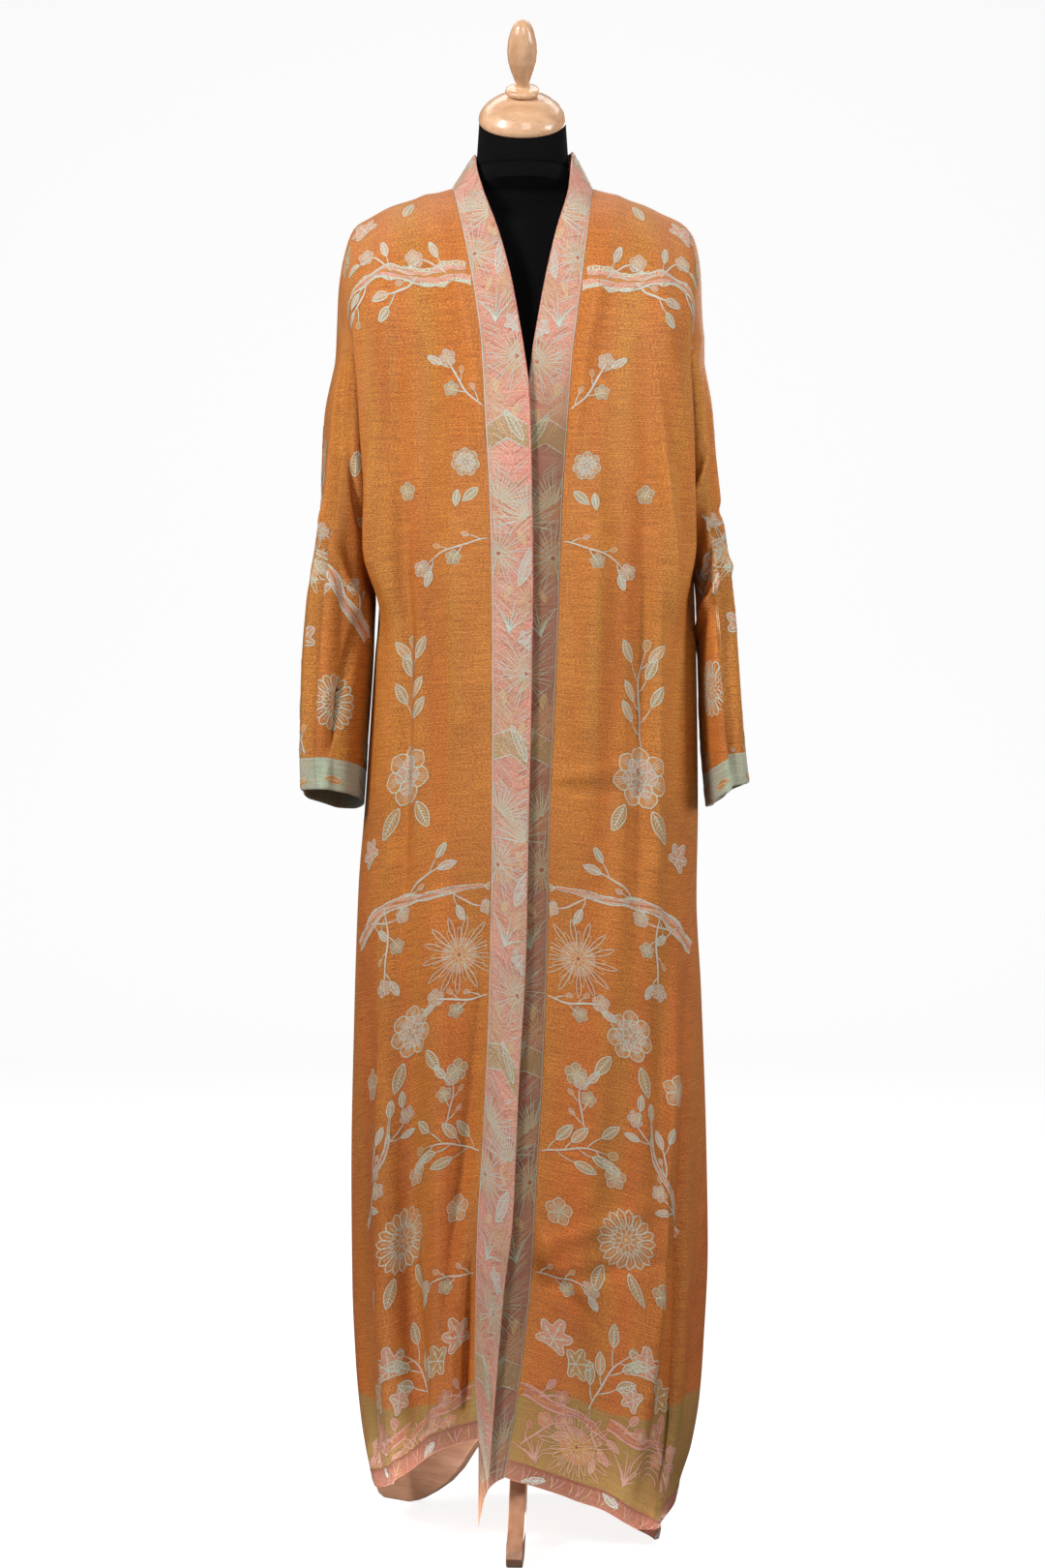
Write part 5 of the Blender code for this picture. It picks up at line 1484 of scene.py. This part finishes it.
def band_side(side, downs, across):
    """The band on one side from its lower end up to the shoulder line."""
    hem = float(hem_level(side, FRONT, 0.0))
    below = [down for down in downs[::-1] if down >= 1]
    seam_heights = [hem, hem + HEM_BAND / 2]
    seam_heights += [float(panel_point(side, FRONT, 0.0, down)[2]) - AXIS[2] for down in below]
    blends = [0.0, 0.0] + [max(0.0, 1 - (down - 1) * 2) ** 2 for down in below]
    rows = []
    for seam_z in seam_heights:
        climbed = min((seam_z - hem) / (UNDERARM_LEVEL - hem), 1.0)
        z = seam_z + (curve(BAND_END[side], "z", across) - hem) * (1 - climbed)
        out = mix(curve(SEAM[side], "half", z), curve(EDGE[side], "half", z), across)
        y = wall(side, FRONT, wall_angle(side, out, z), z)[1]
        out, y = raised(side, FRONT, out, y, z, fold_height(side, FRONT, np.zeros(len(across)), z))
        rows.append(place(side, out, y, z))
    step = collar_point(side, 1.0) - rows[-1][-1]
    rows = [row + blend * across[:, None] * step for row, blend in zip(rows, blends)]
    for share in downs[downs < 1][::-1]:
        rows.append(mix(panel_point(side, FRONT, 0.0, share), collar_point(side, share), across[:, None]))
    return np.array(rows)


def band_behind_neck(across):
    right, left = (collar_point(side, 0.0) for side in SIDES)
    half = np.linspace(0, math.pi / 2, NECK_STEPS)[:-1]
    rows = []
    for side, turn in [("right", t) for t in half[::-1]] + [("left", t) for t in half[1:]]:
        seam = place(side, *back_neck(side, turn))
        edge = mix(right, left, (1 + SIDES[side] * math.sin(turn)) / 2)
        edge = edge + np.array([0.0, COLLAR_BACK, COLLAR_BACK_RISE]) * math.cos(turn)
        rows.append(mix(seam, edge, across[:, None]))
    return np.array(rows)


def hatching(length, centre):
    """Fine slanting threads across the band, rising on both sides from its middle."""
    shapes = []
    for k, v in enumerate(np.arange(0.004, length - 0.02, HATCH_STEP)):
        colour = (TEAL, PINK, TEAL, STRAW, RUST)[int(2.5 + 2.49 * math.sin(k * 1.9 + math.sin(k * 0.37) * 3))]
        rise = HATCH_RISE if v < centre else -HATCH_RISE
        start = HATCH_START + 0.003 * math.sin(k * 2.3)
        for hand, reach in ((-1, start), (1, HATCH_WIDTH - start)):
            if math.sin(k * 0.61 + hand) > -0.75:
                path = [(HATCH_MIDDLE + hand * HATCH_GAP, v), (reach, v + rise)]
                shapes.append(stroke(path, FINE_LINE, colour, 1))
    return shapes


def make_band():
    across = np.linspace(0, 1, BAND_STEPS)
    downs = panel_downs()
    halves = [band_side(side, downs, across) for side in SIDES]
    behind = band_behind_neck(across)
    cloth = Cloth(np.concatenate([halves[0], behind, halves[1][::-1]]))
    crown = BAND_CROWN[0] * (1 - (2 * across - 1) ** 4) - BAND_CROWN[1]
    short, long = (np.sin(cloth.v * 2 * math.pi / length) for length in PUCKER[1:])
    pucker = PUCKER[0] * short * long
    cloth = cloth.displaced(crown + pucker[:, None] * (1 - across))
    length = float(cloth.v[-1])
    centre = float(cloth.v[len(halves[0]) + len(behind) // 2])
    # The band's end under the other front is darkened from the chest to the hem: painted shade of the band
    # lying over it.
    chest = centre + (length - centre) * BAND_SHADE_START
    shade = PaintedShade(chest, chest + BAND_SHADE_RUN, (0.40, 0.30, 0.20), (0.66, 0.56, 0.44))
    band_cloth = cloth_material("band_jacquard", BAND_THREADS, tint=ROSE_TINT, shade=shade,
                                lustre=PALE_LUSTRE)
    design = design_material("band_threads", BAND_GAPS, shade)
    obj = shell("front_band_cloth", cloth, DOUBLE_CLOTH, [band_cloth], rounded=("last", "top", "bottom"))
    shapes = hatching(length, centre)
    for k in range(BAND_REPEATS):
        for motif in BAND_DESIGN:
            away = BAND_DESIGN_START + k * BAND_REPEAT + motif.v
            drawing = motif_shapes(motif)
            shapes += moved(drawing, motif.u, centre + away, motif.turn)
            shapes += [shape._replace(points=np.array([0, centre]) + shape.points * [1, -1])
                       for shape in moved(drawing, motif.u, away, motif.turn)]
    shapes.append(stroke([(0.0012, 0.0), (0.0012, length)], 0.0009, TEAL, 5, taper=False))
    figure = woven("front_band_design", cloth, shapes, design)
    dressed(obj, figure, "band_cloth", "front_band", flat_size(cloth, np.ptp(cloth.u, axis=1).mean()))


def make_hem_band(band_cloth, design):
    stops = []
    for side, face in (("right", FRONT), ("right", BACK), ("left", BACK), ("left", FRONT)):
        outward = (side == "right") == (face == FRONT)
        acrosses = panel_acrosses(face)[::1 if outward else -1]
        stops += [(side, face, across) for across in acrosses[1 if stops else 0:]]
    columns = []
    for side, face, across in stops:
        z = hem_level(side, face, across) + np.linspace(HEM_BAND, 0.0, HEM_STEPS)
        columns.append(place(side, *section(side, face, across, z), z))
    cloth = Cloth(np.stack(columns, axis=1))
    crown = HEM_CROWN * np.sin(np.linspace(0, math.pi, HEM_STEPS))[:, None]
    cloth = cloth.displaced(crown * np.ones(cloth.grid.shape[:2]))
    obj = shell("hem_band_cloth", cloth, CLOTH, [band_cloth], rounded=("bottom",))
    length = float(cloth.u.max())
    shapes = []
    for k, u in enumerate(np.arange(0.01, length, HEM_THREAD_STEP)):
        path = zip((u, u + HEM_THREAD_LEAN * math.sin(k * 1.7)), HEM_THREAD_RISE)
        shapes.append(stroke(list(path), FINE_LINE, PINK if k % 3 else STRAW))
    for k, u in enumerate(np.arange(0.05, length, HEM_LEAF_STEP)):
        shapes += moved(leaf(HEM_LEAF, PINK, TEAL), u, 0.010, 70 if k % 2 else 110)
    # A dark line along the hem band's top, where it is sewn to the panel: painted shadow of the seam.
    shapes.append(stroke([(0.0, 0.0012), (length, 0.0012)], 0.0014, INK, 4, taper=False))
    figure = woven("hem_band_design", cloth, shapes, design)
    dressed(obj, figure, "band_cloth", "hem_band", (round(length, 3), HEM_BAND))


def smoothed(lines, kernel, rounds):
    """Rows of numbers evened out, with their ends kept."""
    weights = np.array(kernel) / sum(kernel)
    keep = len(kernel) // 2
    for _ in range(rounds):
        lines = [np.concatenate([line[:keep], np.convolve(line, weights, "valid"), line[-keep:]])
                 for line in lines]
    return lines


def oval(half_width, front, back, z, columns):
    turns = np.linspace(0, 2 * math.pi, columns, endpoint=False)
    depth = np.where(np.sin(turns) < 0, front, back)
    return np.stack([half_width * np.cos(turns), depth * np.sin(turns), np.full(columns, z)], axis=-1)


def make_form(jersey):
    """The padded torso under its knitted cover, with the seam at the foot of the neck."""
    below = CLOTH + FORM_CLEARANCE
    sizes = [tuple(row) for row in FORM]
    sizes += [(row.z - below, row.out, *FORM_SHOULDER_DEPTH) for row in RIDGE["left"][3:0:-1]]
    sizes += [(end[3], *end[:3]) for end in (SHOULDER_END, NECK_BASE)]
    stations = np.arange(len(sizes))
    fine = np.linspace(0, len(sizes) - 1, (len(sizes) - 1) * FORM_SECTION_STEPS + 1)
    smooth = smoothed([np.interp(fine, stations, column) for column in zip(*sizes)], (1, 4, 6, 4, 1), 3)
    rings = [oval(w, f, b, z, FORM_COLUMNS) for z, w, f, b in zip(*smooth)]
    for share in np.linspace(0, 1, FORM_NECK_STEPS):
        tilt = NECK_TILT * share
        radius = mix(NECK_FOOT[0], NECK_TOP_RADIUS, share)
        radius += sum(high * math.exp(-((share - at) / wide) ** 2) for high, at, wide in NECK_SEAM)
        ring = oval(radius, radius, radius, 0.0, FORM_COLUMNS)
        lifted = ring @ np.array([[1, 0, 0], [0, math.cos(tilt), math.sin(tilt)], [0, 0, 1]])
        rings.append(lifted + [0.0, -NECK_TOP_FORWARD * share, mix(NECK_FOOT[1], NECK_TOP_LEVEL, share)])
    points = np.concatenate(rings) + AXIS
    faces = list(quads(len(rings), FORM_COLUMNS, ring=True))
    faces += [tuple(range(FORM_COLUMNS)), tuple(range(len(points) - FORM_COLUMNS, len(points)))]
    obj = mesh_object("form_torso_cover", points, faces, [jersey])
    turned_outward(obj)
    flat = np.array([(math.atan2(y - AXIS[1], x - AXIS[0]) * FORM_RADIUS, z) for x, y, z in points])
    corners = np.array([loop.vertex_index for loop in obj.data.loops])
    set_flat_map(obj.data, flat[corners])
    ride(obj, "black_jersey", "form_torso")


def lathe(name, profile, material, location=(0, 0, 0), tilt=0.0, steps=96):
    """A turned piece: its profile is smoothed, then spun."""
    profile = np.array(profile)
    lengths = run_lengths(profile)
    at = np.linspace(0, lengths[-1], PROFILE_STEPS)
    rounded = smoothed([np.interp(at, lengths, column) for column in profile.T], (1, 2, 1), 2)
    turns = np.linspace(0, 2 * math.pi, steps, endpoint=False)
    rings = [np.stack([r * np.cos(turns), r * np.sin(turns), np.full(steps, h)], axis=-1)
             for r, h in list(zip(*rounded))[1:-1]]
    points = np.concatenate(rings + [[(0, 0, profile[0, 1])], [(0, 0, profile[-1, 1])]])
    faces = list(quads(len(rings), steps, ring=True))
    top, bottom, last = len(points) - 2, len(points) - 1, (len(rings) - 1) * steps
    faces += [(top, (k + 1) % steps, k) for k in range(steps)]
    faces += [(bottom, last + k, last + (k + 1) % steps) for k in range(steps)]
    obj = mesh_object(name, points, faces, [material])
    turned_outward(obj)
    obj.location = Vector(location) + Vector(AXIS)
    obj.rotation_euler = Euler((tilt, 0, 0))
    return obj


def make_wood():
    axis = Vector((0, -math.sin(NECK_TILT), math.cos(NECK_TILT)))
    neck_top = Vector((0, -NECK_TOP_FORWARD, NECK_TOP_LEVEL))
    cap = lathe("neck_cap_turned", CAP, wood_material("beech_cap", 0), neck_top + axis * SEAT_GAP, NECK_TILT)
    ride(cap, "beech", "neck_cap")
    knob_seat = neck_top + axis * (CAP[0].height + 2 * SEAT_GAP)
    knob = lathe("finial_turned", FINIAL, wood_material("beech_knob", 2), knob_seat, NECK_TILT)
    ride(knob, "beech", "finial")
    post = lathe("stand_column_turned", COLUMN, wood_material("beech_post", 2, coat=0.3), steps=64)
    ride(post, "beech", "stand_column")
    # The legs' beech is darker than the rest of the stand: painted shade for the shade they stand in under
    # the robe.
    leg_wood = wood_material("beech_leg", 0, (188, 140, 110), (160, 112, 82), 0.42, 0.25)
    for turn, name in enumerate(("front", "left", "right")):
        leg = leg_board(name, leg_wood)
        leg.rotation_euler = Euler((math.pi / 2, 0, math.radians(LEG_FIRST_AZIMUTH + 120 * turn)))
        leg.location = Vector(AXIS)
        ride(leg, "beech", f"stand_leg_{name}")


def leg_board(name, material):
    """A flat board cut to the leg's outline, with eased edges."""
    outline = bpy.data.curves.new(f"leg_outline_{name}", "CURVE")
    outline.dimensions = "2D"
    outline.fill_mode = "BOTH"
    outline.extrude = LEG_THICKNESS / 2 - LEG_EASE
    outline.bevel_depth = LEG_EASE
    outline.bevel_resolution = 3
    outline.offset = -LEG_EASE
    spline = outline.splines.new("POLY")
    spline.points.add(len(LEG_OUTLINE) - 1)
    for point, (reach, z) in zip(spline.points, LEG_OUTLINE):
        point.co = (reach, z, 0.0, 1.0)
    spline.use_cyclic_u = True
    holder = linked("leg_outline", outline)
    bpy.context.view_layer.update()
    mesh = bpy.data.meshes.new_from_object(holder.evaluated_get(bpy.context.evaluated_depsgraph_get()))
    bpy.data.objects.remove(holder)
    mesh.name = f"stand_leg_{name}_board"
    mesh.materials.clear()
    mesh.materials.append(material)
    mesh.shade_smooth()
    mesh.set_sharp_from_angle(angle=math.radians(35))
    return linked(mesh.name, mesh)


def make_stage():
    """A pale sweep: floor and backdrop in one."""
    profile = [(-7.0, 0.0), (5.0, 0.0)]
    profile += [(5.0 + 1.5 * math.sin(a), 1.5 - 1.5 * math.cos(a)) for a in np.linspace(0.1, math.pi / 2, 12)]
    profile.append((6.5, 7.0))
    points = [(x, y, z) for y, z in profile for x in (-7.0, 7.0)]
    faces = [(2 * i, 2 * i + 1, 2 * i + 3, 2 * i + 2) for i in range(len(profile) - 1)]
    pale = Nodes("pale_floor").set(Base_Color=(0.24, 0.24, 0.24, 1.0), Roughness=0.9,
                                   Emission_Color=(1.0, 1.0, 1.0, 1.0), Emission_Strength=0.86)
    sweep = mesh_object("studio_sweep", points, faces, [pale])
    sweep.visible_diffuse = False
    sweep.visible_glossy = False


def area_light(name, location, target, size, power):
    data = bpy.data.lights.new(name, "AREA")
    data.shape = "RECTANGLE"
    data.size, data.size_y = size
    data.energy = power
    obj = linked(name, data)
    obj.location = location
    obj.rotation_euler = (Vector(target) - Vector(location)).to_track_quat("-Z", "Y").to_euler()
    obj.visible_camera = False


FOCAL_PIXELS = 2760.0
FRAME_HEIGHT = 1620
CAMERA_HEIGHT = 0.826
CAMERA_DISTANCE = 3.0


def make_camera_and_lights():
    data = bpy.data.cameras.new("camera")
    data.sensor_width = 36.0
    data.lens = data.sensor_width * FOCAL_PIXELS / FRAME_HEIGHT
    camera = linked("camera", data)
    camera.location = (AXIS[0], AXIS[1] - CAMERA_DISTANCE, CAMERA_HEIGHT)
    camera.rotation_euler = (math.pi / 2, 0, 0)
    bpy.context.scene.camera = camera
    area_light("key", (-1.9, -1.6, 2.3), (0, 0, 1.10), (0.6, 0.6), 78)
    area_light("front", (0.4, -2.4, 1.9), (0, 0, 1.0), (0.8, 0.8), 21)
    area_light("side", (2.1, -0.9, 1.7), (0, 0, 0.8), (0.8, 0.8), 34)
    area_light("bounce", (-0.05, -0.08, 0.02), (-0.05, 0.0, 1.0), (0.42, 0.20), 0.60)
    area_light("floor_glow", (-0.12, -0.12, 0.015), (-0.10, 0.10, 0.09), (0.16, 0.06), 0.28)
    area_light("rear", (0.8, 2.3, 2.0), (0, 0, 1.0), (1.2, 1.2), 16)
    area_light("backdrop", (0.0, 1.4, 3.6), (0, 3.2, 0.2), (4.5, 1.6), 90)
    world = bpy.data.worlds.new("studio")
    bpy.context.scene.world = world
    world.use_nodes = True
    light = world.node_tree.nodes["Background"].inputs
    light["Color"].default_value = (1.0, 1.0, 1.0, 1.0)
    light["Strength"].default_value = 0.14
    bpy.context.scene.view_settings.view_transform = "Standard"


def main():
    make_camera_and_lights()
    make_stage()
    inner = cloth_material("robe_reverse", REVERSE_THREADS)
    ground = cloth_material("robe_jacquard", GROUND_THREADS, border=SAGE_THREADS, shade=SKIRT_PAINTED_SHADE)
    hem_cloth = cloth_material("hem_jacquard", HEM_THREADS, tint=ROSE_TINT)
    cuff_cloth = cloth_material("cuff_jacquard", CUFF_THREADS, sheen=0.3, tint=PALE_TINT)
    design = design_material("design_threads", GROUND_THREADS, SKIRT_PAINTED_SHADE)
    hem_design = design_material("hem_threads", HEM_THREADS)
    make_form(jersey_material())
    make_panels(ground, inner, design)
    make_sleeves(ground, inner, cuff_cloth, design)
    make_band()
    make_hem_band(hem_cloth, hem_design)
    make_wood()


main()
